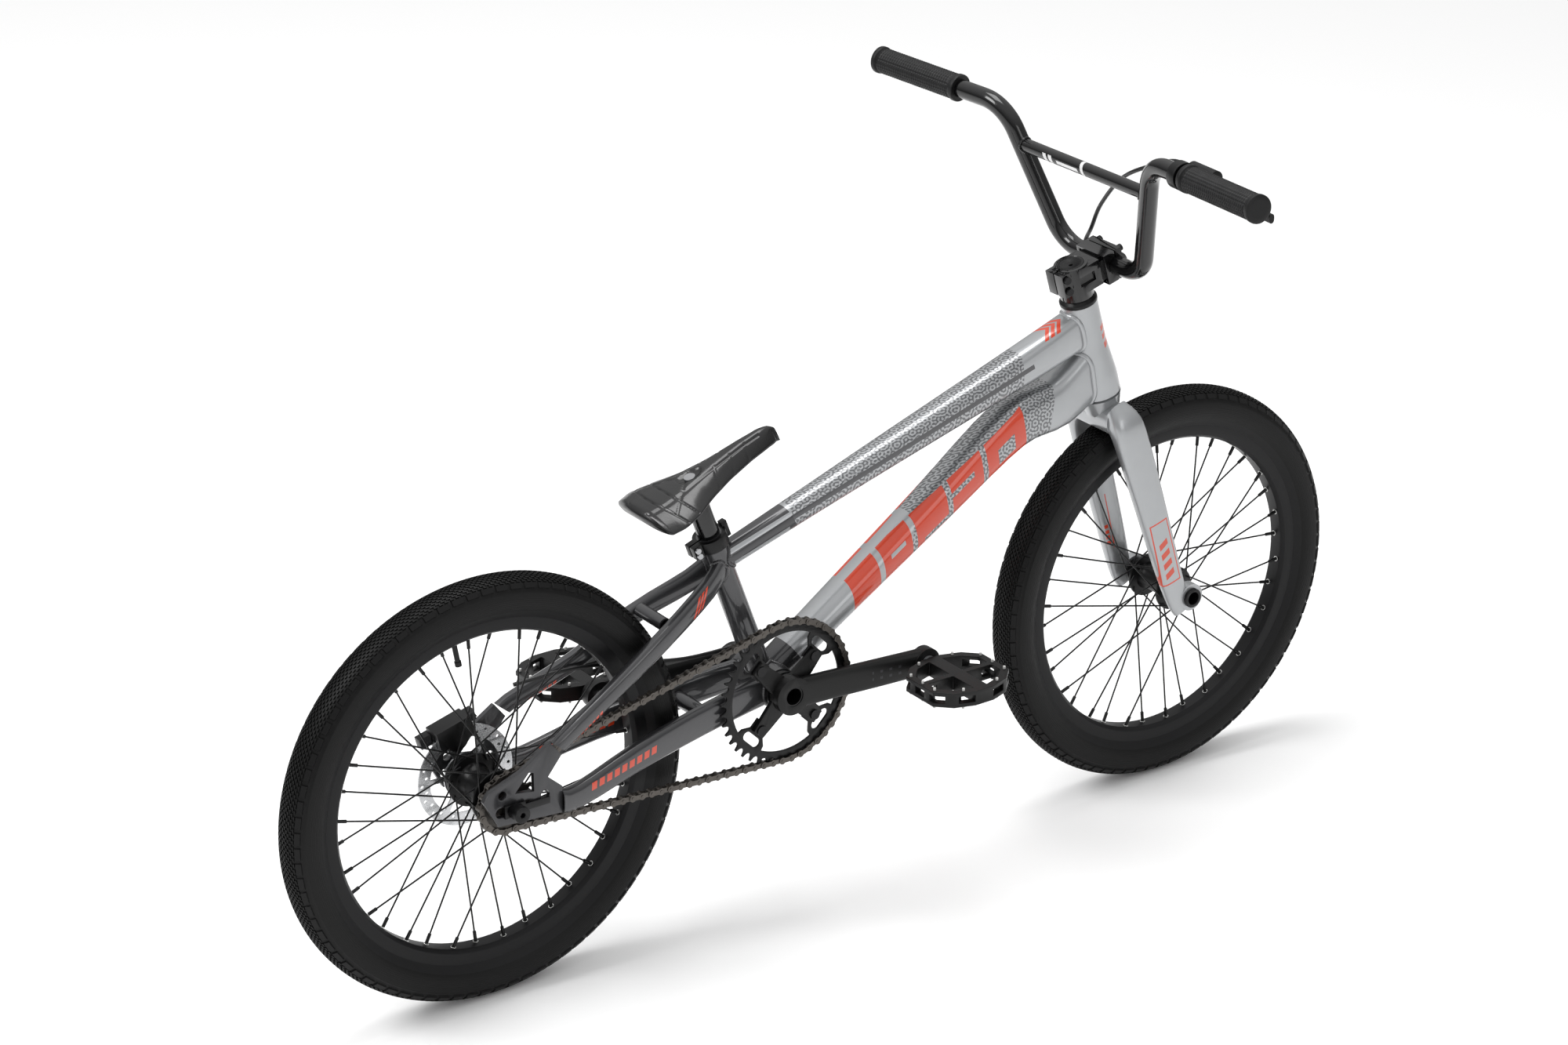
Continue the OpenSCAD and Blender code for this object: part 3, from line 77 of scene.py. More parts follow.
@dataclass(frozen=True)
class Layout:
    """The frame's main places in metres, as the CAD frame has them.

    Attributes:
        rear, front: wheel centres.
        bb: centre of the bottom bracket.
        steer_o: point of the steering axis level with the front axle's offset.
        steer_n, steer_u: forward normal and upward axis of the steering.
        seat_n, seat_u: the same for the seat tube.
    """

    rear: Vector = Vector((-0.4793, 0, 0.25))
    front: Vector = Vector((0.4793, 0, 0.25))
    bb: Vector = Vector((-0.110329, 0, 0.2825))
    steer_o: Vector = Vector((0.452385, 0, 0.242282))
    steer_n: Vector = tilted(74)[0]
    steer_u: Vector = tilted(74)[1]
    seat_n: Vector = tilted(69.8)[0]
    seat_u: Vector = tilted(69.8)[1]

    def steer(self, n: float, y: float, s: float) -> Vector:
        """A point of the steering frame, given in millimetres."""
        return self.steer_o + (n * self.steer_n + s * self.steer_u + Vector((0, y, 0))) * MM

    def seat(self, t: float, n: float = 0.0, y: float = 0.0) -> Vector:
        """A point by the seat tube, t millimetres up it from the bottom bracket."""
        return self.bb + (t * self.seat_u + n * self.seat_n + Vector((0, y, 0))) * MM


PLAN = Layout()


# ---------- Mesh work ----------


def deselect() -> None:
    """Leaves edit mode and clears the selection."""
    if bpy.context.object and bpy.context.object.mode != "OBJECT":
        bpy.ops.object.mode_set(mode="OBJECT")
    bpy.ops.object.select_all(action="DESELECT")


def focus(obj: bpy.types.Object) -> bpy.types.Object:
    """Makes one object the only selected and active one, and returns it."""
    deselect()
    obj.select_set(True)
    bpy.context.view_layer.objects.active = obj
    return obj


def named(name: str) -> bpy.types.Object:
    """Names the primitive that was just added and returns it."""
    obj = bpy.context.object
    obj.name = name
    obj.data.name = name
    return obj


def settle(obj: bpy.types.Object) -> bpy.types.Object:
    """Puts an object's place into its mesh, so that it sits unturned at the origin."""
    focus(obj)
    bpy.ops.object.transform_apply(location=True, rotation=True, scale=True)
    return obj


def smooth(obj: bpy.types.Object, angle: float = 35) -> bpy.types.Object:
    """Shades an object smooth, with edges over an angle in degrees left sharp."""
    focus(obj)
    bpy.ops.object.shade_smooth_by_angle(angle=math.radians(angle))
    return obj


def modify(obj: bpy.types.Object, kind: str, **settings: object) -> bpy.types.Object:
    """Adds a modifier with its settings and applies it."""
    focus(obj)
    modifier = obj.modifiers.new(kind.lower(), kind)
    for key, value in settings.items():
        setattr(modifier, key, value)
    bpy.ops.object.modifier_apply(modifier=modifier.name)
    return obj


def clean(obj: bpy.types.Object, flat: float = 0.0) -> bpy.types.Object:
    """Merges doubles and turns faces outwards.

    Args:
        obj: the mesh object.
        flat: angle in degrees under which neighbouring faces join, or 0 to keep them.

    Returns:
        The same object.
    """
    focus(obj)
    bpy.ops.object.mode_set(mode="EDIT")
    bpy.ops.mesh.select_all(action="SELECT")
    bpy.ops.mesh.remove_doubles(threshold=0.01 * MM)
    if flat:
        bpy.ops.mesh.dissolve_limited(angle_limit=math.radians(flat))
    bpy.ops.mesh.normals_make_consistent(inside=False)
    bpy.ops.object.mode_set(mode="OBJECT")
    return obj


def mesh_object(name: str, points: Iterable[Vector], faces: list[tuple[int, ...]]) -> bpy.types.Object:
    """A new mesh object from points and faces."""
    mesh = bpy.data.meshes.new(name)
    mesh.from_pydata([tuple(p) for p in points], [], faces)
    mesh.update()
    obj = bpy.data.objects.new(name, mesh)
    bpy.context.scene.collection.objects.link(obj)
    return obj


def loft(name: str, rings: Rings, closed: bool = False) -> bpy.types.Object:
    """Skins rings of equal point count.

    Args:
        name: the new object's name.
        rings: closed rings of points, in order.
        closed: True joins the last ring to the first, False caps both ends.

    Returns:
        The new object.
    """
    n, count = len(rings[0]), len(rings)
    faces = []
    for i in range(count if closed else count - 1):
        j = (i + 1) % count
        for k in range(n):
            q = (k + 1) % n
            faces.append((i * n + k, i * n + q, j * n + q, j * n + k))
    if not closed:
        faces.append(tuple(range(n - 1, -1, -1)))
        faces.append(tuple((count - 1) * n + k for k in range(n)))
    return clean(mesh_object(name, [p for ring in rings for p in ring], faces))


def tube(
    name: str,
    points: Sequence[Vector],
    radius: float,
    sides: int = 16,
    closed: bool = False,
    swell: Callable[[int], float] = lambda i: 1.0,
) -> bpy.types.Object:
    """Sweeps a circle along points.

    Args:
        name: the new object's name.
        points: the centre line, in metres.
        radius: radius of the tube, in metres.
        sides: sides of the circle, a multiple of four.
        closed: True for a loop.
        swell: the share of the radius at each point.

    Returns:
        A mesh object.
    """
    curve = bpy.data.curves.new(name, "CURVE")
    curve.dimensions = "3D"
    spline = curve.splines.new("POLY")
    spline.points.add(len(points) - 1)
    for i, (target, p) in enumerate(zip(spline.points, points)):
        target.co = (*p, 1)
        target.radius = swell(i)
    spline.use_cyclic_u = closed
    curve.bevel_depth = radius
    curve.bevel_resolution = sides // 4 - 1
    curve.use_fill_caps = not closed
    obj = bpy.data.objects.new(name, curve)
    bpy.context.scene.collection.objects.link(obj)
    focus(obj)
    bpy.ops.object.convert(target="MESH")
    return clean(named(name))


def revolve(name: str, profile: Points, start: Vector, axis: Vector, steps: int = 64) -> bpy.types.Object:
    """Spins a profile of [radius, height] in millimetres round an axis.

    Args:
        name: the new object's name.
        profile: points in order; the first and last may lie on the axis.
        start: the axis point at height zero.
        axis: direction of growing height.
        steps: steps of the full turn.

    Returns:
        The closed solid.
    """
    direction = axis.normalized()
    side = direction.orthogonal().normalized()
    points = [start + (side * r + direction * h) * MM for r, h in profile]
    obj = mesh_object(name, points, [])
    obj.data.edges.add(len(points) - 1)
    for i, edge in enumerate(obj.data.edges):
        edge.vertices = (i, i + 1)
    obj.data.update()
    focus(obj)
    bpy.ops.object.mode_set(mode="EDIT")
    bpy.ops.mesh.select_all(action="SELECT")
    bpy.ops.mesh.spin(steps=steps, angle=TURN, center=start, axis=direction)
    bpy.ops.object.mode_set(mode="OBJECT")
    return clean(obj)


def join(name: str, parts: Sequence[bpy.types.Object]) -> bpy.types.Object:
    """Joins objects into one and names it."""
    deselect()
    for part in parts:
        part.select_set(True)
    bpy.context.view_layer.objects.active = parts[0]
    bpy.ops.object.join()
    return named(name)


def stamp(name: str, shape: bpy.types.Object, places: Sequence[Matrix]) -> bpy.types.Object:
    """Copies one small shape to many places in a single mesh.

    Args:
        name: the new object's name.
        shape: the object that is copied; it is removed.
        places: a matrix for each copy.

    Returns:
        The object with all copies.
    """
    base = np.array([v.co for v in shape.data.vertices])
    faces = [tuple(p.vertices) for p in shape.data.polygons]
    points, all_faces = [], []
    for i, place in enumerate(places):
        m = np.array(place)
        points.append(base @ m[:3, :3].T + m[:3, 3])
        all_faces += [tuple(v + i * len(base) for v in f) for f in faces]
    bpy.data.objects.remove(shape)
    return mesh_object(name, np.concatenate(points), all_faces)


def basis(origin: Vector, x: Vector, z: Vector) -> Matrix:
    """A matrix that puts a shape's x along x and its z along z at origin."""
    z = z.normalized()
    x = (x - x.dot(z) * z).normalized()
    y = z.cross(x)
    return Matrix.Translation(origin) @ Matrix((x, y, z)).transposed().to_4x4()


def machined(node: str, bevel: float = 0.0, flat: float = 0.4, angle: float = 35) -> bpy.types.Object:
    """A merged copy of a CAD node with its edges broken, which replaces the node.

    Args:
        node: the CAD node's name.
        bevel: width of the broken edges in millimetres, or 0 for none.
        flat: angle in degrees under which facets join.
        angle: angle in degrees over which edges stay sharp.

    Returns:
        The new object, named after the node.
    """
    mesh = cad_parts[node].data.copy()
    mesh.materials.clear()
    obj = bpy.data.objects.new(f"{node}_skin", mesh)
    bpy.context.scene.collection.objects.link(obj)
    focus(obj)
    if mesh.has_custom_normals:
        bpy.ops.mesh.customdata_custom_splitnormals_clear()
    clean(obj, flat)
    if bevel:
        modify(
            obj,
            "BEVEL",
            width=bevel * MM,
            segments=2,
            limit_method="ANGLE",
            angle_limit=math.radians(angle),
        )
    smooth(obj, angle)
    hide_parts(node)
    return obj


# ---------- Materials ----------


def linear(code: str) -> tuple[float, float, float, float]:
    """A colour from its sRGB hex code, as linear values with full alpha."""
    values = [int(code[i : i + 2], 16) / 255 for i in (1, 3, 5)]
    return (*[v / 12.92 if v <= 0.04045 else ((v + 0.055) / 1.055) ** 2.4 for v in values], 1.0)


def add(tree: bpy.types.NodeTree, kind: str, at: dict | None = None, **settings: object) -> bpy.types.Node:
    """Adds a node with its settings and links.

    Args:
        tree: the material's node tree.
        kind: the node type's name after "ShaderNode".
        at: for each input, a value, a socket, or a node for its first output.
        settings: attributes of the node.

    Returns:
        The new node.
    """
    node = tree.nodes.new("ShaderNode" + kind)
    for key, value in settings.items():
        setattr(node, key, value)
    for key, value in (at or {}).items():
        source = value.outputs[0] if isinstance(value, bpy.types.Node) else value
        if isinstance(source, bpy.types.NodeSocket):
            tree.links.new(source, node.inputs[key])
        else:
            node.inputs[key].default_value = source
    return node


@dataclass(frozen=True)
class Finish:
    """A material by what it is made of and how its surface was made.

    Attributes:
        name: material and process.
        color: sRGB hex of the surface.
        metallic, roughness: shader values before variation.
        coat: clear coat weight, with coat_roughness.
        mottle: share by which brightness varies over patches of mottle_mm.
        grain_mm, grain_depth_mm: size and depth of the fine relief.
        gloss_change: by how much roughness varies.
        specular: how strongly a surface that isn't metal mirrors its surroundings.
        stretch: how far the grain is drawn out along x, y and z, as brushing does.
    """

    name: str
    color: str
    metallic: float = 0.0
    roughness: float = 0.5
    coat: float = 0.0
    coat_roughness: float = 0.04
    mottle: float = 0.08
    mottle_mm: float = 14.0
    grain_mm: float = 0.8
    grain_depth_mm: float = 0.02
    gloss_change: float = 0.08
    specular: float = 0.5
    stretch: tuple[float, float, float] = (1.0, 1.0, 1.0)


class Surface:
    """A material in the making: its tree, its shader and the patterns laid on it."""

    def __init__(self, finish: Finish) -> None:
        """Sets up the shader with the finish's grain and colour variation."""
        self.finish = finish
        self.material = bpy.data.materials.new(finish.name)
        self.material.use_nodes = True
        self.tree = self.material.node_tree
        self.shader = next(n for n in self.tree.nodes if n.type == "BSDF_PRINCIPLED")
        self.place = add(self.tree, "TexCoord").outputs["Object"]
        self.shader.inputs["Metallic"].default_value = finish.metallic
        self.flakes: object = 1.0
        self.shader.inputs["Specular IOR Level"].default_value = finish.specular
        self.shader.inputs["Coat Weight"].default_value = finish.coat
        self.shader.inputs["Coat Roughness"].default_value = finish.coat_roughness
        self.color = self.mottled(finish.color)
        self.height = self.grain()
        self.rough = self.glossed()

    def mottled(self, code: str) -> bpy.types.Node:
        """The finish's slow change of brightness over one colour."""
        f = self.finish
        patches = add(
            self.tree, "TexNoise", {"Vector": self.place, "Scale": 1 / (f.mottle_mm * MM), "Detail": 3.0}
        )
        low = [c * (1 - f.mottle) for c in linear(code)[:3]] + [1.0]
        high = [min(1.0, c * (1 + f.mottle)) for c in linear(code)[:3]] + [1.0]
        return add(self.tree, "MixRGB", {"Fac": patches, "Color1": low, "Color2": high})

    def grain(self) -> bpy.types.Node:
        """The fine relief, drawn out along the finish's stretch."""
        f = self.finish
        drawn = add(self.tree, "Mapping", {"Vector": self.place, "Scale": [1 / s for s in f.stretch]})
        return add(self.tree, "TexNoise", {"Vector": drawn, "Scale": 1 / (f.grain_mm * MM), "Detail": 2.0})

    def glossed(self) -> bpy.types.Node:
        """Roughness, which varies with the relief."""
        f = self.finish
        return add(
            self.tree,
            "MapRange",
            {
                "Value": self.height,
                "To Min": max(0.0, f.roughness - f.gloss_change),
                "To Max": min(1.0, f.roughness + f.gloss_change),
            },
        )

    def tilt(self, origin: Vector, angle: float) -> bpy.types.Node:
        """Coordinates in millimetres along and square to a line in the bike's middle plane.

        Args:
            origin: where the line starts, in metres.
            angle: the line's rise in degrees.

        Returns:
            A node whose outputs are the distance along, across to the left, and above the line.
        """
        turned = add(
            self.tree,
            "Mapping",
            {
                "Vector": self.place,
                "Location": origin,
                "Rotation": (0, -math.radians(angle), 0),
                "Scale": (MM, MM, MM),
            },
            vector_type="TEXTURE",
        )
        return add(self.tree, "SeparateXYZ", {0: turned})

    def both(self, *masks: object) -> object:
        """Where every mask holds."""
        result = masks[0]
        for mask in masks[1:]:
            result = add(self.tree, "Math", {0: result, 1: mask}, operation="MULTIPLY")
        return result

    def either(self, *masks: object) -> object:
        """Where at least one mask holds."""
        result = masks[0]
        for mask in masks[1:]:
            result = add(self.tree, "Math", {0: result, 1: mask}, operation="MAXIMUM")
        return result

    def without(self, mask: object, hole: object) -> object:
        """Where the mask holds and the hole doesn't."""
        return self.both(mask, add(self.tree, "Math", {0: 1.0, 1: hole}, operation="SUBTRACT"))

    def within(self, value: object, low: float, high: float) -> object:
        """Where a value lies between two limits."""
        return add(
            self.tree,
            "Math",
            {0: value, 1: (low + high) / 2, 2: (high - low) / 2},
            operation="COMPARE",
        )

    def above(self, value: object, low: float) -> object:
        """Where a value is over a limit."""
        return add(self.tree, "Math", {0: value, 1: low}, operation="GREATER_THAN")

    def slanted(self, u: object, v: object, slope: float) -> object:
        """The coordinate u, shifted by slope times v."""
        return add(self.tree, "Math", {0: v, 1: -slope, 2: u}, operation="MULTIPLY_ADD")

    def print_ink(self, mask: object, code: str) -> None:
        """Covers the masked area with a solid ink, which hides the metal flakes."""
        self.paint(mask, code)
        self.flakes = self.without(self.flakes, mask)

    def paint(self, mask: object, code: str) -> None:
        """Covers the masked area with another colour."""
        self.color = add(
            self.tree, "MixRGB", {"Fac": mask, "Color1": self.color, "Color2": self.mottled(code)}
        )

    def labyrinth(self, mask: object, code: str, period_mm: float = 4.6) -> None:
        """Covers the masked area with winding lines.

        Waves of one length run in many directions and add up, and the lines are where the sum
        is positive. The waves climb with z and with y alike, so the lines go round the tube.
        They are spaced a little wider than printed ones are, so that they stay readable.

        Args:
            mask: where the lines lie.
            code: the lines' colour.
            period_mm: distance from line to line.
        """
        total: object = 0.0
        step = TURN / (period_mm * MM)
        for i in range(9):
            a = math.pi * (i + 0.35 * math.sin(7.1 * i)) / 9
            wave = Vector((math.cos(a), math.sin(a), math.sin(a))) * step * (1 + 0.05 * math.sin(3.7 * i))
            along = add(self.tree, "VectorMath", {0: self.place, 1: wave}, operation="DOT_PRODUCT")
            phase = add(self.tree, "Math", {0: along.outputs["Value"], 1: 2.4 * i * i}, operation="ADD")
            height = add(self.tree, "Math", {0: phase}, operation="SINE")
            total = add(self.tree, "Math", {0: height, 1: total}, operation="ADD")
        self.paint(self.both(mask, self.above(total, 0.0)), code)

    def raise_relief(self, pattern: object, share: float) -> None:
        """Adds a pattern to the relief, share times as deep as the grain."""
        self.height = add(
            self.tree, "Math", {0: pattern, 1: share, 2: self.height}, operation="MULTIPLY_ADD"
        )

    def done(self) -> bpy.types.Material:
        """Links what was laid on to the shader and returns the material."""
        bump = add(
            self.tree, "Bump", {"Height": self.height, "Distance": self.finish.grain_depth_mm * MM}
        )
        if self.flakes != 1.0:
            metal = add(self.tree, "Math", {0: self.flakes, 1: self.finish.metallic}, operation="MULTIPLY")
            self.tree.links.new(metal.outputs[0], self.shader.inputs["Metallic"])
        self.tree.links.new(self.color.outputs[0], self.shader.inputs["Base Color"])
        self.tree.links.new(self.rough.outputs[0], self.shader.inputs["Roughness"])
        self.tree.links.new(bump.outputs[0], self.shader.inputs["Normal"])
        return self.material


# Lean of the steering axis, in degrees
STEER_LEAN = 16
ORANGE = "#C93400"
CHARCOAL = "#39393B"
DARK_LINES = "#626365"
SILVER = "#A4A6A8"


class Metal(Enum):
    """The plain finishes that CAD nodes and new pieces take without a pattern."""

    # Satin black anodising: dark, with a faint grain from blasting.
    BLACK_ANODISED = Finish("aluminium_blasted_black_anodised", "#060607", 0.05, 0.36, specular=0.3)
    # Polished before anodising, so it mirrors the lights.
    BLACK_GLOSS = Finish("aluminium_polished_black_anodised", "#060607", 0.1, 0.14, 0.25, grain_mm=2.5)
    MATTE_BLACK = Finish("aluminium_forged_matte_black", "#090909", 0.05, 0.4, specular=0.3, grain_mm=0.6)
    DROPOUT = Finish("aluminium_milled_charcoal", "#3A3A3C", 0.5, 0.36, 0.3, grain_mm=0.7)
    # Turned on a lathe: fine rings round the axle.
    TURNED = Finish("aluminium_turned_bare", "#B9BABC", 0.9, 0.3, stretch=(1, 8, 1))
    STEEL = Finish("steel_zinc_plated", "#A8A9AB", 0.9, 0.32)
    BLACK_STEEL = Finish("steel_black_oxide", "#0A0A0C", 0.4, 0.42)
    # Ground in arcs and then cleaned, so it is bright with a drawn grain.
    ROTOR = Finish("stainless_steel_ground", "#C9CACC", 0.95, 0.28, stretch=(6, 1, 1), grain_mm=0.5)
    # Rolled plates with a film of brown oil.
    CHAIN = Finish("steel_rolled_oiled", "#56524E", 0.75, 0.36, mottle=0.25, mottle_mm=5)
    COG = Finish("steel_hardened", "#3A3734", 0.7, 0.4, mottle=0.2)
    SPOKE = Finish("steel_drawn_black", "#0B0B0C", 0.4, 0.36, grain_depth_mm=0.008)
    VALVE = Finish("brass_nickel_plated", "#C8C8C6", 0.95, 0.22)
    PAD = Finish("brake_compound_sintered", "#4A3D32", 0.1, 0.8, mottle=0.3, mottle_mm=1.5)
    # Moulded with a tiny matte texture.
    HOSE = Finish("nylon_extruded_black", "#101011", 0.0, 0.33, grain_depth_mm=0.006)
    CHARCOAL_PAINT = Finish("paint_charcoal_metallic", CHARCOAL, 0.55, 0.36, 0.8, mottle=0.05, grain_mm=0.35)
    SILVER_PAINT = Finish("paint_silver_metallic", SILVER, 0.6, 0.34, 0.8, mottle=0.03, grain_mm=0.35)

    def surface(self) -> Surface:
        """Starts a new material of this finish."""
        return Surface(self.value)


class Palette:
    """Keeps one material for each plain finish."""

    def __init__(self) -> None:
        """Starts with no material made."""
        self.made: dict[Metal, bpy.types.Material] = {}

    def plain(self, metal: Metal) -> bpy.types.Material:
        """The material of a plain finish, made at its first use."""
        if metal not in self.made:
            self.made[metal] = metal.surface().done()
        return self.made[metal]


PALETTE = Palette()


def dress(obj: bpy.types.Object, material: bpy.types.Material) -> bpy.types.Object:
    """Gives an object one material all over."""
    obj.data.materials.clear()
    obj.data.materials.append(material)
    return obj


def dress_node(node: str, material: bpy.types.Material) -> None:
    """Gives a CAD node that stays its detailed material, in each of its slots."""
    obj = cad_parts[node]
    if not obj.material_slots:
        obj.data.materials.append(material)
    for place in obj.material_slots:
        place.material = material


def hand_over(obj: bpy.types.Object, body: str, material: bpy.types.Material | None = None) -> None:
    """Finishes a piece: its material and its body, and logs its face count.

    Args:
        obj: the finished piece.
        body: the CAD body that it rides on.
        material: the material, if the piece has none yet.
    """
    if material:
        dress(obj, material)
    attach(obj, body)
    log.info("%s: %d faces on %s", obj.name, len(obj.data.polygons), body)


# ---------- Frame ----------


@dataclass
class FrameTubes:
    """The welded frame: painted tubes, stays, dropouts and weld beads."""

    down_angle: float = 33.3
    top_angle: float = 18.2
    bead_r: float = 2.3
    wide_bead_r: float = 3.4
    blocks: tuple[tuple[float, float], ...] = ((134, 178), (186, 232), (240, 292), (300, 352), (360, 424))

    def build(self) -> None:
        """Builds and dresses the whole frame."""
        self.down_tube()
        self.top_tube()
        self.head_tube()
        self.rear_triangle()
        self.welds()

    def mark(self, s: Surface, u: object, v: object) -> object:
        """A generic mark: slanted blocks with slots, along a tube's side.

        Args:
            s: the surface being painted.
            u: distance along the tube in millimetres.
            v: height over the tube's centre line in millimetres.

        Returns:
            The mask of the mark.
        """
        lean = s.slanted(u, v, 0.42)
        bars = s.either(*[s.within(lean, a, b) for a, b in self.blocks])
        slots = s.either(
            s.both(s.within(lean, 198, 222), s.within(v, 4, 9)),
            s.both(s.within(lean, 252, 292), s.within(v, -16, -10)),
            s.both(s.within(lean, 300, 338), s.within(v, 2, 8)),
            s.both(s.within(lean, 378, 406), s.within(v, -14, 4)),
            s.both(s.within(lean, 134, 160), s.within(v, -18, -12)),
        )
        return s.without(s.both(bars, s.within(v, -60, 22)), slots)

    def down_tube(self) -> None:
        """Silver metallic, with the winding lines towards the head tube and the orange mark."""
        s = Metal.SILVER_PAINT.surface()
        s.material.name = "paint_silver_down_tube"
        at = s.tilt(PLAN.bb, self.down_angle)
        u, y, v = at.outputs
        front = s.within(s.slanted(u, v, 0.9), 232, 478)
        s.labyrinth(front, DARK_LINES)
        s.paint(s.within(u, -60, 44), CHARCOAL)
        side = s.above(add(s.tree, "Math", {0: y}, operation="ABSOLUTE"), 8.0)
        s.print_ink(s.both(self.mark(s, u, v), side), ORANGE)
        hand_over(machined("down_tube", flat=0.05, angle=40), "frame", s.done())

    def top_tube(self) -> None:
        """Charcoal at the back with two silver stripes, then winding lines, then plain silver."""
        s = Metal.SILVER_PAINT.surface()
        s.material.name = "paint_silver_top_tube"
        start = PLAN.seat(171)
        u, y, v = s.tilt(start, self.top_angle).outputs
        s.labyrinth(s.within(s.slanted(u, v, 0.25), 96, 436), DARK_LINES)
        s.paint(s.both(s.within(u, 96, 452), s.within(s.slanted(v, u, -0.012), 2, 8)), "#4A4A4C")
        rear_part = s.within(s.slanted(u, v, -0.15), -60, 98)
        stripes = s.either(
            s.both(s.within(u, 12, 90), s.within(v, -9.5, -4)),
            s.both(s.within(u, -10, 98), s.within(v, 6.5, 11)),
        )
        s.paint(s.without(rear_part, stripes), CHARCOAL)
        across = add(s.tree, "Math", {0: y}, operation="ABSOLUTE")
        arrow = s.slanted(u, across, -0.9)
        arms = s.either(*[s.within(arrow, a, a + 6) for a in (490, 499, 508)])
        s.print_ink(s.both(arms, s.above(v, 18)), ORANGE)
        hand_over(machined("top_tube", flat=0.05, angle=40), "frame", s.done())

    def head_tube(self) -> None:
        """Silver, with three small orange feathers on its front."""
        s = Metal.SILVER_PAINT.surface()
        s.material.name = "paint_silver_head_tube"
        u, y, v = s.tilt(PLAN.steer_o, STEER_LEAN).outputs
        height = add(s.tree, "Math", {0: add(s.tree, "Math", {0: y}, operation="ABSOLUTE"), 1: 0.55, 2: v}, operation="MULTIPLY_ADD")
        feathers = s.either(*[s.within(height, a, a + 6.5) for a in (366, 377, 388)])
        s.print_ink(s.both(feathers, s.above(u, 8)), ORANGE)
        hand_over(machined("head_tube", flat=0.05), "frame", s.done())

    def rear_triangle(self) -> None:
        """Charcoal stays and seat tube, with generic dashes where a maker puts words."""
        charcoal = PALETTE.plain(Metal.CHARCOAL_PAINT)
        for node in ("seat_tube", "bottom_bracket_shell", "stay_bridges"):
            hand_over(machined(node, flat=0.05), "frame", charcoal)
        for side in ("right", "left"):
            hand_over(machined(f"chain_stay_{side}", flat=0.05), "frame", self.chain_stay_paint(side))
            hand_over(machined(f"seat_stay_{side}", flat=0.05), "frame", self.seat_stay_paint(side))
            hand_over(machined(f"dropout_{side}", 0.8), "frame", PALETTE.plain(Metal.DROPOUT))

    def dashes(self, s: Surface, u: object, v: object, start: float, count: int, size: tuple[float, float]) -> object:
        """A row of slanted dashes, each size long and high in millimetres."""
        lean = s.slanted(u, v, 0.3)
        length, height = size
        marks = [s.within(lean, start + i * length * 1.5, start + (i * 1.5 + 1) * length) for i in range(count)]
        return s.both(s.either(*marks), s.within(v, -height / 2, height / 2))

    def chain_stay_paint(self, side: str) -> bpy.types.Material:
        """Charcoal with one row of orange dashes."""
        s = Metal.CHARCOAL_PAINT.surface()
        s.material.name = f"paint_charcoal_chain_stay_{side}"
        u, y, v = s.tilt(Vector((-0.3841, 0, 0.2474)), 9.5).outputs
        s.print_ink(self.dashes(s, u, v, 4, 9, (7.2, 8.5)), ORANGE)
        return s.done()

    def seat_stay_paint(self, side: str) -> bpy.types.Material:
        """Charcoal with small orange dashes low down and three feathers at the top."""
        s = Metal.CHARCOAL_PAINT.surface()
        s.material.name = f"paint_charcoal_seat_stay_{side}"
        u, y, v = s.tilt(Vector((-0.4015, 0, 0.306)), 29.5).outputs
        s.print_ink(self.dashes(s, u, v, 0, 8, (4.2, 4.6)), ORANGE)
        lean = s.slanted(u, v, 1.3)
        feathers = s.either(*[s.within(lean, a, a + 4.5) for a in (208, 215, 222)])
        outer = s.above(add(s.tree, "Math", {0: y}, operation="ABSOLUTE"), 24)
        s.print_ink(s.both(s.both(feathers, s.within(v, -8, 7)), outer), ORANGE)
        return s.done()

    def rim_loop(self, node: str, start: Vector, axis: Vector, radius: Callable[[float], float], along: Vector) -> list[Vector]:
        """The outer edge where a tube meets a round one.

        Args:
            node: the CAD node of the tube that ends there.
            start: a point on the round tube's axis.
            axis: the round tube's direction.
            radius: its radius in millimetres for a distance along the axis.
            along: the ending tube's own direction.

        Returns:
            The loop's points, in order, or an empty list.
        """
        axis = axis.normalized()
        along = along.normalized()
        near = []
        for co in {tuple(round(c, 6) for c in v.co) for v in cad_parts[node].data.vertices}:
            offset = Vector(co) - start
            height = offset.dot(axis)
            if abs((offset - height * axis).length - radius(height / MM) * MM) < 0.35 * MM:
                near.append(Vector(co))
        if len(near) < 12:
            return []
        centre = sum(near, Vector()) / len(near)
        e1 = along.orthogonal().normalized()
        e2 = along.cross(e1)
        bins: dict[int, tuple[float, Vector]] = {}
        for p in near:
            a, b = (p - centre).dot(e1), (p - centre).dot(e2)
            k = int((math.atan2(b, a) / TURN + 0.5) * 40)
            reach = math.hypot(a, b)
            if k not in bins or reach > bins[k][0]:
                bins[k] = (reach, p)
        typical = sorted(r for r, p in bins.values())[len(bins) // 2]
        return [bins[k][1] for k in sorted(bins) if bins[k][0] > 0.55 * typical]

    def welds(self) -> None:
        """Weld beads: smoothed wide ones at the head tube, rippled ones elsewhere."""

        def head(h: float) -> float:
            """The head tube's radius at a height: flared below its straight upper part."""
            return 22.1 if h > 363 else 26.6 - max(0.0, h - 315) * 4.5 / 48

        def round_bb(_: float) -> float:
            """The bottom bracket shell's radius."""
            return 23.1

        def round_seat(_: float) -> float:
            """The seat tube's radius."""
            return 15.1

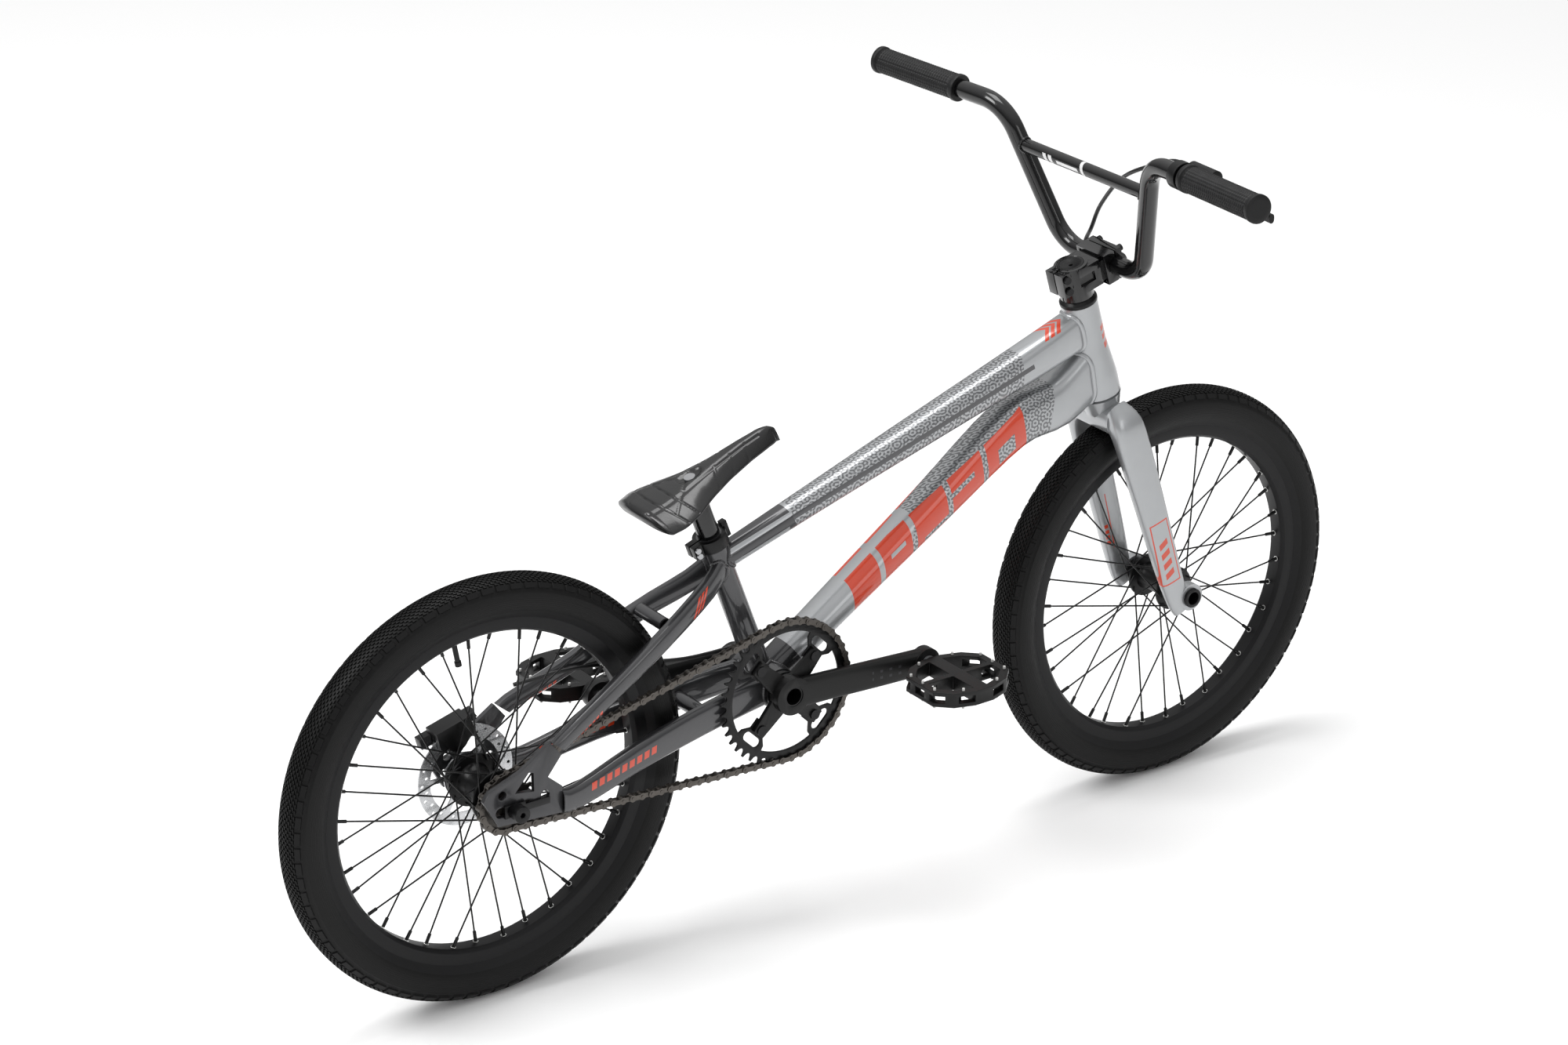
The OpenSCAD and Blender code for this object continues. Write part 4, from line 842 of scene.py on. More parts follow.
        y = Vector((0, 1, 0))
        jobs = [
            ("weld_top_tube_front", "top_tube", PLAN.steer_o, PLAN.steer_u, head, Vector((1, 0, 0.33)), Metal.SILVER_PAINT),
            ("weld_down_tube_front", "down_tube", PLAN.steer_o, PLAN.steer_u, head, Vector((1, 0, 0.6)), Metal.SILVER_PAINT),
            ("weld_down_tube_rear", "down_tube", PLAN.bb, y, round_bb, Vector((1, 0, 0.66)), Metal.CHARCOAL_PAINT),
            ("weld_top_tube_rear", "top_tube", PLAN.bb, PLAN.seat_u, round_seat, Vector((1, 0, 0.33)), Metal.CHARCOAL_PAINT),
            ("weld_seat_tube", "seat_tube", PLAN.bb, y, round_bb, PLAN.seat_u, Metal.CHARCOAL_PAINT),
            ("weld_chain_stay_right", "chain_stay_right", PLAN.bb, y, round_bb, Vector((1, 0, 0)), Metal.CHARCOAL_PAINT),
            ("weld_chain_stay_left", "chain_stay_left", PLAN.bb, y, round_bb, Vector((1, 0, 0)), Metal.CHARCOAL_PAINT),
            ("weld_seat_stay_right", "seat_stay_right", PLAN.bb, PLAN.seat_u, round_seat, Vector((1, 0, 0.5)), Metal.CHARCOAL_PAINT),
            ("weld_seat_stay_left", "seat_stay_left", PLAN.bb, PLAN.seat_u, round_seat, Vector((1, 0, 0.5)), Metal.CHARCOAL_PAINT),
        ]
        for name, node, start, axis, radius, along, paint in jobs:
            loop = self.rim_loop(node, start, axis, radius, along)
            if not loop:
                log.warning("%s: no edge found", name)
                continue
            wide = "front" in name
            self.bead(name, loop, self.wide_bead_r if wide else self.bead_r, 0.0 if wide else 0.14, paint)

    def bead(self, name: str, loop: list[Vector], radius: float, ripple: float, paint: Metal) -> None:
        """One bead along a closed loop, with a ripple every 2.4 mm."""
        points = smooth_loop(loop, 0.8 * MM)
        obj = tube(name, points, radius * MM, 12, True, lambda i: 1 + ripple * math.sin(i * TURN / 3))
        hand_over(smooth(obj, 60), "frame", PALETTE.plain(paint))


def smooth_loop(loop: list[Vector], step: float) -> list[Vector]:
    """Evens a closed loop out and resamples it at a step in metres."""
    points = np.array([tuple(p) for p in loop])
    for _ in range(2):
        points = 0.25 * np.roll(points, 1, 0) + 0.5 * points + 0.25 * np.roll(points, -1, 0)
    ring = np.vstack([points, points[:1]])
    lengths = np.concatenate([[0], np.cumsum(np.linalg.norm(np.diff(ring, axis=0), axis=1))])
    count = max(24, int(lengths[-1] / step))
    at = np.linspace(0, lengths[-1], count, endpoint=False)
    return [Vector([np.interp(t, lengths, ring[:, c]) for c in range(3)]) for t in at]


# ---------- Wheels ----------


@dataclass
class Wheel:
    """One wheel: treaded tyre, rim with eyelets, spokes, hub and valve.

    Attributes:
        end: "front" or "rear", as the CAD nodes start.
        centre: the wheel's centre in metres.
        spokes: number of spoke holes.
    """

    end: str
    centre: Vector
    outer_r: float = 250.0
    rim_r: float = 205.0
    half_w: float = 23.5
    tread: float = 1.3
    small_blocks: int = 224
    big_blocks: int = 84
    spokes: int = 36

    def build(self) -> None:
        """Builds the tyre and the eyelets and dresses the CAD pieces."""
        body = f"{self.end}_wheel"
        hand_over(self.tyre(), body, self.rubber())
        hand_over(machined(f"{self.end}_rim", 0.4, flat=0.05), body, self.rim_finish())
        hand_over(self.eyelets(), body, PALETTE.plain(Metal.VALVE))
        hand_over(machined(f"{self.end}_hub", 0.5, flat=0.05), body, PALETTE.plain(Metal.BLACK_ANODISED))
        dress_node(f"{self.end}_spokes", PALETTE.plain(Metal.SPOKE))
        dress_node(f"{self.end}_valve", PALETTE.plain(Metal.BLACK_ANODISED))

    def casing(self, angle: float, drop: float) -> tuple[float, float]:
        """Radius and side place of the tyre's surface in millimetres.

        Args:
            angle: angle round the tyre's section in degrees, 0 at the tread's middle.
            drop: how far under the outer surface.
        """
        middle = self.rim_r + (self.outer_r - self.rim_r) * 0.48
        c, s = math.cos(math.radians(angle)), math.sin(math.radians(angle))
        r = middle + (self.outer_r - middle - drop) * math.copysign(abs(c) ** 0.85, c)
        return r, (self.half_w - drop) * math.copysign(abs(s) ** 0.9, s)

    def tyre(self) -> bpy.types.Object:
        """The casing, spun from its section, with rows of small blocks and two rows of big ones."""
        section = [(self.rim_r - 5, -11.4)]
        section += [self.casing(a, self.tread if abs(a) < 75 else 0.1) for a in range(-129, 130, 6)]
        section += [(self.rim_r - 5, 11.4), (self.rim_r - 5, -11.4)]
        casing = revolve("casing", section, self.centre, Vector((0, -1, 0)), 144)
        rows = []
        for i, angle in enumerate((-38, -31, -24, -17, -10, -3.4, 3.4, 10, 17, 24, 31, 38)):
            rows.append(self.blocks(angle, self.small_blocks, (4.6, 2.0), 0.5 * (i % 2)))
        for side in (-1, 1):
            rows.append(self.blocks(52 * side, self.big_blocks, (15.2, 7.6), 0.0))
        obj = join(f"{self.end}_tyre_treaded", [casing, *rows])
        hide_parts(f"{self.end}_tyre")
        return smooth(obj, 30)

    def blocks(self, angle: float, count: int, size: tuple[float, float], offset: float) -> bpy.types.Object:
        """One row of tread blocks round the tyre.

        Args:
            angle: where the row sits on the section, in degrees.
            count: blocks in the row.
            size: a block's length round the tyre and width across it, in millimetres.
            offset: by how much of the pitch the row is shifted.

        Returns:
            The row as one object.
        """
        r, y = self.casing(angle, 0.0)
        r2, y2 = self.casing(angle + 1, 0.0)
        across = Vector((r2 - r, y2 - y, 0)).normalized()
        out = Vector((across[1], -across[0], 0))
        bpy.ops.object.select_all(action="DESELECT")
        bpy.ops.mesh.primitive_cube_add(size=1)
        block = named("block")
        block.scale = (size[0] * MM, size[1] * MM, 2 * self.tread * MM)
        settle(block)
        bpy.ops.object.mode_set(mode="EDIT")
        bpy.ops.mesh.select_all(action="DESELECT")
        bpy.ops.object.mode_set(mode="OBJECT")
        for face in block.data.polygons:
            face.select = face.normal.z > 0.5
        bpy.ops.object.mode_set(mode="EDIT")
        bpy.ops.transform.resize(value=(0.86, 0.8, 1))
        bpy.ops.object.mode_set(mode="OBJECT")
        places = []
        for k in range(count):
            a = TURN * (k + offset) / count
            radial = Vector((math.cos(a), 0, math.sin(a)))
            side = Vector((0, 1, 0))
            z = radial * out[0] + side * out[1]
            point = self.centre + (radial * r + side * y) * MM - z * self.tread * MM
            places.append(basis(point, Vector((-math.sin(a), 0, math.cos(a))), z))
        return stamp("row", block, places)

    def rubber(self) -> bpy.types.Material:
        """Vulcanised rubber: matte, with the fine knit of the sidewall's chafer showing through."""
        s = Surface(Finish(f"rubber_vulcanised_{self.end}", "#090909", 0.0, 0.5, specular=0.2, mottle=0.12, grain_mm=0.7, grain_depth_mm=0.06))
        local = add(s.tree, "Mapping", {"Vector": s.place, "Location": self.centre}, vector_type="TEXTURE")
        x, y, z = add(s.tree, "SeparateXYZ", {0: local}).outputs
        radius = add(s.tree, "VectorMath", {0: add(s.tree, "CombineXYZ", {0: x, 2: z})}, operation="LENGTH").outputs["Value"]
        ribs = add(s.tree, "Math", {0: radius, 1: TURN / (2.2 * MM)}, operation="MULTIPLY")
        wave = add(s.tree, "Math", {0: ribs}, operation="SINE")
        wall = s.both(s.within(radius, 0.2165, 0.2285), wave)
        s.raise_relief(wall, 1.2)
        s.paint(s.within(radius, 0.19, 0.2125), "#141415")
        return s.done()

    def rim_finish(self) -> bpy.types.Material:
        """Extruded aluminium, blasted and anodised matte black."""
        s = Surface(Finish(f"aluminium_extruded_matte_{self.end}", "#08080A", 0.05, 0.42, specular=0.25, grain_mm=0.5))
        return s.done()

    def eyelets(self) -> bpy.types.Object:
        """A pressed eyelet round each spoke hole, on the rim's inner face."""
        bpy.ops.object.select_all(action="DESELECT")
        bpy.ops.mesh.primitive_torus_add(major_radius=2.9 * MM, minor_radius=0.7 * MM, major_segments=16, minor_segments=6)
        ring = named("eyelet")
        places = []
        for k in range(self.spokes):
            a = TURN * (k + 0.5) / self.spokes
            radial = Vector((math.cos(a), 0, math.sin(a)))
            side = -1 if k % 2 else 1
            point = self.centre + radial * 186.9 * MM + Vector((0, side * 3.0 * MM, 0))
            places.append(basis(point, Vector((0, 1, 0)), radial))
        return smooth(stamp(f"{self.end}_eyelets", ring, places), 60)


# ---------- Steering ----------


@dataclass
class Steering:
    """Fork, stem, handlebar, grips and lever."""

    bar_r: float = 11.1
    bar_rise: float = 168.0
    low_half: float = 71.0
    cross_half: float = 115.0
    crossbar_h: float = 121.0
    reach: float = 46.0
    clamp_s: float = 449.1
    bar_w: float = 676.0
    back: float = 6.1
    up: float = 3.9
    bends: tuple[float, float] = (50.0, 42.0)
    grip_l: float = 138.0
    grip_r: float = 15.5

    def build(self) -> None:
        """Builds and dresses everything that turns with the fork."""
        hand_over(self.bar(), "steering", self.bar_finish())
        for side, name in ((1, "left"), (-1, "right")):
            hand_over(self.grip(side, name), "steering", self.grip_rubber(name))
        hand_over(machined("fork", flat=0.05, angle=40), "steering", self.fork_paint())
        gloss = PALETTE.plain(Metal.BLACK_GLOSS)
        for node, bevel in (("stem", 0.9), ("stem_faceplate", 0.8)):
            hand_over(machined(node, bevel), "steering", gloss)
        for node in ("headset_cover", "top_cap"):
            hand_over(machined(node, 0.4), "steering", PALETTE.plain(Metal.BLACK_ANODISED))
        hand_over(machined("front_axle", 0.5), "steering", PALETTE.plain(Metal.BLACK_ANODISED))
        hand_over(machined("lever_housing", 0.5), "steering", PALETTE.plain(Metal.BLACK_ANODISED))
        hand_over(machined("brake_lever", flat=0.05, angle=50), "brake_lever", PALETTE.plain(Metal.BLACK_ANODISED))
        dress_node("stem_bolts", PALETTE.plain(Metal.BLACK_STEEL))
        dress_node("steerer", PALETTE.plain(Metal.TURNED))
        dress_node("crown_race", PALETTE.plain(Metal.STEEL))

    def top(self, side: int) -> Vector:
        """Where the upright's line meets the grip's line."""
        y = self.low_half + (self.cross_half - self.low_half) / self.crossbar_h * self.bar_rise
        return PLAN.steer(self.reach, side * y, self.clamp_s + self.bar_rise)

    def grip_axis(self, side: int) -> Vector:
        """The direction of one grip, outwards."""
        back, up = math.radians(self.back), math.radians(self.up)
        return Vector((0, side * math.cos(back), 0)) - math.sin(back) * PLAN.steer_n + math.sin(up) * PLAN.steer_u

    def from_end(self, side: int, distance: float) -> Vector:
        """A point of the grip's line, a distance in millimetres in from the bar's end."""
        top = self.top(side)
        reach = (self.bar_w / 2 - abs(top.y) / MM) / math.cos(math.radians(self.back))
        return top + self.grip_axis(side) * (reach - distance) * MM

    def bar(self) -> bpy.types.Object:
        """The bent bar with its crossbar and the two weld beads."""
        corners = [
            self.from_end(-1, 0),
            self.top(-1),
            PLAN.steer(self.reach, -self.low_half, self.clamp_s),
            PLAN.steer(self.reach, self.low_half, self.clamp_s),
            self.top(1),
            self.from_end(1, 0),
        ]
        radii = [0, self.bends[0], self.bends[1], self.bends[1], self.bends[0], 0]
        path = [corners[0]]
        for i in range(1, 5):
            a = (corners[i] - corners[i - 1]).normalized()
            b = (corners[i + 1] - corners[i]).normalized()
            turn = a.angle(b)
            setback = radii[i] * MM * math.tan(turn / 2)
            m = (b - a.dot(b) * a).normalized()
            centre = corners[i] - setback * a + radii[i] * MM * m
            for k in range(17):
                w = turn * k / 16
                path.append(centre - radii[i] * MM * (math.cos(w) * m - math.sin(w) * a))
        path.append(corners[-1])
        main = tube("bar", path, self.bar_r * MM, 32)
        s = self.clamp_s + self.crossbar_h
        ends = [PLAN.steer(self.reach, side * (self.cross_half - 4), s) for side in (-1, 1)]
        cross = tube("crossbar", ends, 8 * MM, 28)
        beads = [self.cross_bead(side, s) for side in (-1, 1)]
        obj = join("handlebar_bent", [main, cross, *beads])
        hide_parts("handlebar")
        return smooth(obj, 40)

    def cross_bead(self, side: int, s: float) -> bpy.types.Object:
        """The bead where the crossbar meets an upright."""
        slope = (self.cross_half - self.low_half) / self.crossbar_h
        loop = []
        for k in range(72):
            a = TURN * k / 72
            n, h = 8.6 * math.cos(a), 8.6 * math.sin(a)
            depth = math.sqrt(self.bar_r**2 - n * n)
            y = self.cross_half + slope * h - depth * math.hypot(1, slope)
            loop.append(PLAN.steer(self.reach + n, side * y, s + h))
        return tube("bead", loop, 1.5 * MM, 8, True, lambda i: 1 + 0.12 * math.sin(i * TURN / 3))

    def bar_finish(self) -> bpy.types.Material:
        """Polished black bar with a white band and short dashes on the crossbar."""
        s = Metal.BLACK_GLOSS.surface()
        s.material.name = "aluminium_polished_black_bar"
        place = add(s.tree, "Mapping", {"Vector": s.place, "Scale": (MM, MM, MM)}, vector_type="TEXTURE")
        x, y, z = add(s.tree, "SeparateXYZ", {0: place}).outputs
        high = s.within(z, 790, 816)
        lean = s.slanted(y, z, 0.5)
        marks = s.either(
            s.within(lean, -409, -404),
            s.both(s.within(lean, -398, -360), s.within(z, 799, 803)),
            s.both(s.within(lean, -352, -346), s.within(z, 796, 806)),
            s.both(s.within(lean, -342, -336), s.within(z, 796, 806)),
        )
        s.paint(s.both(marks, high, s.within(x, 325, 352)), "#D8D8D8")
        return s.done()

    def grip(self, side: int, name: str) -> bpy.types.Object:
        """A moulded grip with raised diamonds between two collars and a closed outer end."""
        start = self.from_end(side, -3)
        inward = (self.from_end(side, 30) - start).normalized()
        sides, rows = 96, 150
        e1 = inward.orthogonal().normalized()
        e2 = inward.cross(e1)
        rings = []
        for i in range(rows + 1):
            h = self.grip_l * i / rows
            ring = []
            for k in range(sides):
                a = TURN * k / sides
                r = self.grip_section(h, a)
                ring.append(start + inward * h * MM + (e1 * math.cos(a) + e2 * math.sin(a)) * r * MM)
            rings.append(ring)
        cap = [
            [
                start + (e1 * math.cos(TURN * k / sides) + e2 * math.sin(TURN * k / sides)) * r * MM
                for k in range(sides)
            ]
            for r in (10.0, 14.0)
        ]
        obj = loft(f"grip_{name}_moulded", cap + rings[1:])
        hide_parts(f"grip_{name}")
        return smooth(obj, 50)

    def grip_section(self, h: float, angle: float) -> float:
        """The grip's radius in millimetres at a height and an angle."""
        if h < 6.5 or h > self.grip_l - 7:
            edge = min(h, 6.5 - h) if h < 6.5 else min(h - self.grip_l + 7, self.grip_l - h)
            return self.grip_r + 1.0 - 0.8 * max(0.0, 1 - edge / 1.2)
        if h < 9 or h > self.grip_l - 10:
            return self.grip_r - 1.0
        turns = 12 * angle
        pitch = TURN * h / 7.6
        ridge = math.cos(turns + pitch) * math.cos(turns - pitch)
        return self.grip_r - 0.5 + 0.5 * min(1.0, max(-1.0, 3.2 * ridge))

    def grip_rubber(self, name: str) -> bpy.types.Material:
        """Soft moulded rubber: matte, a little lighter where the diamonds catch light."""
        s = Surface(Finish(f"rubber_moulded_grip_{name}", "#0C0C0D", 0.0, 0.46, specular=0.3, mottle=0.1, grain_mm=0.5, grain_depth_mm=0.03))
        return s.done()

    def fork_paint(self) -> bpy.types.Material:
        """Silver over carbon fibre, with an outlined orange panel on the right leg and a line on the left."""
        s = Metal.SILVER_PAINT.surface()
        s.material.name = "paint_silver_fork"
        u, y, v = s.tilt(PLAN.steer_o, STEER_LEAN).outputs
        outer = s.both(s.within(v, 34, 122), s.within(u, -8, 19))
        inner = s.both(s.within(v, 36, 120), s.within(u, -6.4, 17.4))
        bars = s.both(
            s.either(*[s.within(s.slanted(v, u, 0.4), a, a + 8) for a in (42, 56, 70, 84)]),
            s.within(u, -1, 12),
        )
        right = s.either(s.without(outer, inner), bars)
        s.print_ink(s.both(right, add(s.tree, "Math", {0: y, 1: -48}, operation="LESS_THAN")), ORANGE)
        line = s.both(s.within(u, 2, 3.6), s.within(v, 48, 128))
        ticks = s.both(s.either(*[s.within(v, a, a + 5) for a in (56, 64, 72, 80)]), s.within(u, -6, -1))
        s.print_ink(s.both(s.either(line, ticks), s.above(y, 30)), ORANGE)
        return s.done()


# ---------- Saddle ----------


@dataclass
class Saddle:
    """The moulded saddle shell with its creases, on its post."""

    seat: Vector = Vector((-0.198583, 0, 0.558492))
    tilt: float = 19.5
    drape: float = 15.0
    around: int = 144
    steps: int = 230
    stations: tuple[tuple[float, float, float], ...] = (
        (-86, 40, 0), (-80, 54, 1), (-60, 58, 1), (-36, 51, 0), (-8, 36, -1),
        (24, 25, -1), (60, 18.5, 0), (88, 14, -1), (100, 10, -3), (106, 4, -6),
    )

    def build(self) -> None:
        """Builds the shell and dresses the post, bolt and clamp."""
        hand_over(self.shell(), "seat", self.shell_finish())
        hand_over(machined("seat_post", 0.3, flat=0.05), "seat", PALETTE.plain(Metal.BLACK_GLOSS))
        dress_node("saddle_bolt", PALETTE.plain(Metal.STEEL))
        hand_over(machined("seat_clamp", 0.6), "frame", PALETTE.plain(Metal.BLACK_ANODISED))
        dress_node("seat_clamp_bolts", PALETTE.plain(Metal.STEEL))

    def outline(self, x: float) -> tuple[float, float]:
        """Half width and crown height in millimetres at a station along the saddle."""
        xs, ws, zs = (np.array(c) for c in zip(*self.stations))
        smooth_w = np.interp(x, xs, ws)
        for d in (-4, 4):
            smooth_w += np.interp(np.clip(x + d, xs[0], xs[-1]), xs, ws)
        return float(smooth_w / 3), float(np.interp(x, xs, zs))

    def crease(self, x: float, y: float, w: float) -> float:
        """Depth in millimetres of the moulded creases at a place on the top."""
        share = abs(y) / max(w, 1.0)
        gaps = [(abs(share - 0.42) * w, -82 < x < 84)]
        for line in (-66, -46):
            gaps.append((abs(x - line - 0.004 * y * y), True))
        for line in (22, 44, 66):
            gaps.append((abs(x - line + 0.5 * abs(y)), share > 0.3))
        gaps.append((abs(abs(y) - 0.9 * (-12 - x)), -60 < x < -14))
        depth = max((1.3 * math.exp(-((gap / 1.25) ** 2)) for gap, there in gaps if there), default=0.0)
        recess = ((x + 10) / 17) ** 2 + (y / 9) ** 2
        if recess < 1:
            depth = max(depth, 4.0 * (1 - recess) ** 0.5)
        return depth

    def shell(self) -> bpy.types.Object:
        """A lofted shell that drapes to both sides, thicker in the middle, where the post goes in."""
        a = math.radians(self.tilt)
        ex, ez = Vector((math.cos(a), 0, math.sin(a))), Vector((-math.sin(a), 0, math.cos(a)))
        rings = []
        xs = [-86.5 + 193.5 * (0.5 - 0.5 * math.cos(math.pi * i / self.steps)) for i in range(self.steps + 1)]
        for x in xs:
            w, crown = self.outline(min(max(x, -86), 106))
            tail = math.sqrt(max(0.03, 1 - max(0.0, (-76 - x) / 10.8) ** 2))
            nose = math.sqrt(max(0.03, 1 - max(0.0, (x - 90) / 17.3) ** 2))
            full, w, slim = w, w * tail, min(tail, nose)
            ring = []
            for k in range(self.around):
                t = TURN * k / self.around
                c, s = math.cos(t), math.sin(t)
                y = w * math.copysign(abs(c) ** 0.85, c)
                share = abs(y) / max(full, 1.0)
                top = crown - self.drape * share**2.3 - 5 * (1 - slim)
                thick = slim * (6 + 14 * (1 - share**2))
                z = top - thick * (0.5 - 0.5 * math.copysign(abs(s) ** 0.5, s))
                if s > 0.12:
                    z -= self.crease(x, y, w) * min(1.0, 6 * (s - 0.12))
                ring.append(self.seat + (ex * x + ez * z) * MM + Vector((0, y * MM, 0)))
            rings.append(ring)
        obj = loft("saddle_moulded", rings)
        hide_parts("saddle")
        return smooth(obj, 50)

    def shell_finish(self) -> bpy.types.Material:
        """Injection-moulded nylon, polished: a deep black gloss with faint flow marks."""
        s = Surface(Finish("nylon_moulded_polished", "#060607", 0.0, 0.24, 0.15, grain_mm=3.0, grain_depth_mm=0.03, gloss_change=0.05))
        return s.done()


# ---------- Drivetrain and brake ----------


@dataclass
class Drivetrain:
    """Cranks, chainring, chain, cog, pedals, and the axle hardware."""

    plain: tuple[tuple[str, Metal], ...] = (
        ("chain", Metal.CHAIN),
        ("rear_cog", Metal.COG),
        ("crank_spindle", Metal.BLACK_ANODISED),
        ("chainring_bolts", Metal.BLACK_STEEL),
        ("pedal_spindles", Metal.STEEL),
        ("headset_bearings", Metal.STEEL),
        ("rotor_bolts", Metal.STEEL),
        ("brake_rotor", Metal.ROTOR),
        ("brake_pads", Metal.PAD),
    )

    def build(self) -> None:
        """Builds the machined copies and dresses the CAD nodes that stay."""
        matte = PALETTE.plain(Metal.MATTE_BLACK)
        black = PALETTE.plain(Metal.BLACK_ANODISED)
        hand_over(machined("crank_left", 1.1), "cranks", matte)
        hand_over(machined("crank_right", 1.1), "cranks", self.crank_finish())
        hand_over(machined("chainring", 0.3), "cranks", black)
        for side in ("right", "left"):
            hand_over(self.pedal(side), f"pedal_{side}", self.pedal_finish(side))
        for node in ("bottom_bracket_cups", "chain_tensioners", "rear_axle"):
            hand_over(machined(node, 0.4), "frame", black)
        hand_over(machined("brake_caliper", 1.0), "frame", black)
        for node, metal in self.plain:
            dress_node(node, PALETTE.plain(metal))

    def pedal(self, side: str) -> bpy.types.Object:
        """The platform body, with windows cut through its four rails."""
        low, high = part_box(f"pedal_{side}")
        middle = (low + high) / 2
        obj = machined(f"pedal_{side}", 0.0, flat=0.05)
        for sx in (-1, 1):
            for y in (-26, 0, 26):
                self.window(obj, middle + Vector((sx * 49, y, 0)) * MM, (34, 17, 8.4))
        outward = 1 if side == "left" else -1
        for x in (-22, 22):
            self.window(obj, middle + Vector((x, outward * 48, 0)) * MM, (19, 22, 8.4))
        modify(obj, "BEVEL", width=0.6 * MM, segments=2, limit_method="ANGLE", angle_limit=math.radians(35))
        return smooth(obj, 35)

    def window(self, obj: bpy.types.Object, centre: Vector, size: tuple[float, float, float]) -> None:
        """Cuts one box of a size in millimetres out of an object."""
        deselect()
        bpy.ops.mesh.primitive_cube_add(size=1, location=centre)
        cutter = named("cutter")
        cutter.scale = Vector(size) * MM
        settle(cutter)
        modify(obj, "BOOLEAN", operation="DIFFERENCE", object=cutter, solver="EXACT")
        bpy.data.objects.remove(cutter)

    def crank_finish(self) -> bpy.types.Material:
        """Forged and blasted black, with a faint pressed row of dots along the arm."""
        s = Metal.MATTE_BLACK.surface()
        s.material.name = "aluminium_forged_matte_crank"
        u, y, v = s.tilt(PLAN.bb, 0.5).outputs
        cell_u = add(s.tree, "Math", {0: u, 1: 6.0}, operation="PINGPONG")
        cell_v = add(s.tree, "Math", {0: v, 1: 4.0}, operation="PINGPONG")
        dots = s.both(s.within(cell_u, 4.2, 6.0), s.within(cell_v, 2.4, 4.0))
        dots = s.both(dots, s.within(u, 102, 148), s.within(v, -9, 9))
        s.paint(dots, "#2C2C2F")
        return s.done()

    def pedal_finish(self, side: str) -> bpy.types.Material:
        """Forged black body with bright steel pins."""
        s = Metal.MATTE_BLACK.surface()
        s.material.name = f"aluminium_forged_pedal_{side}"
        middle = (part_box(f"pedal_{side}")[0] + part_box(f"pedal_{side}")[1]) / 2
        x, y, v = s.tilt(middle, 0).outputs
        s.paint(s.above(add(s.tree, "Math", {0: v}, operation="ABSOLUTE"), 9.05), "#C4C4C2")
        return s.done()


@dataclass
class BrakeHose:
    """The hydraulic hose from the lever, through the down tube, to the caliper.

    Attributes:
        radius: half its thickness in millimetres.
        route: its route's points in millimetres.
    """

    radius: float = 2.5
    route: tuple[tuple[float, float, float], ...] = (
        (350, -175, 848), (351, -160, 849), (354, -138, 846), (357, -106, 833), (366, -40, 799),
        (380, 15, 749), (390, 44, 709), (394, 58, 690), (388, 60, 668), (371, 55, 637), (350, 47, 606),
        (322, 37, 575), (292, 26, 549), (258, 10, 524), (210, 0, 492), (150, 0, 450), (60, 0, 390), (0, 2, 352),
        (-30, 10, 332), (-58, 24, 321), (-90, 29, 317), (-125, 30, 315), (-160, 30, 315), (-200, 30, 318),
        (-250, 30, 328), (-308, 30, 341), (-360, 31, 346), (-395, 34, 345), (-416, 39, 342),
    )

    def path(self) -> list[Vector]:
        """The smooth centre line through the route, in metres."""
        p = [Vector(q) * MM for q in self.route]
        points = []
        for i in range(len(p) - 1):
            a, b, c, d = p[max(i - 1, 0)], p[i], p[i + 1], p[min(i + 2, len(p) - 1)]
            for k in range(6):
                t = k / 6
                points.append(
                    0.5 * (2 * b + (c - a) * t + (2 * a - 5 * b + 4 * c - d) * t * t + (3 * b - a - 3 * c + d) * t**3)
                )
        return points + [p[-1]]

    def build(self) -> None:
        path = self.path()
        obj = smooth(tube("hose_hydraulic", path, self.radius * MM, 12), 60)
        dress(obj, PALETTE.plain(Metal.HOSE))
        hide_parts("brake_hose")
        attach(obj, "frame")
        obj.parent = None
        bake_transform(obj)


# ---------- Stage ----------


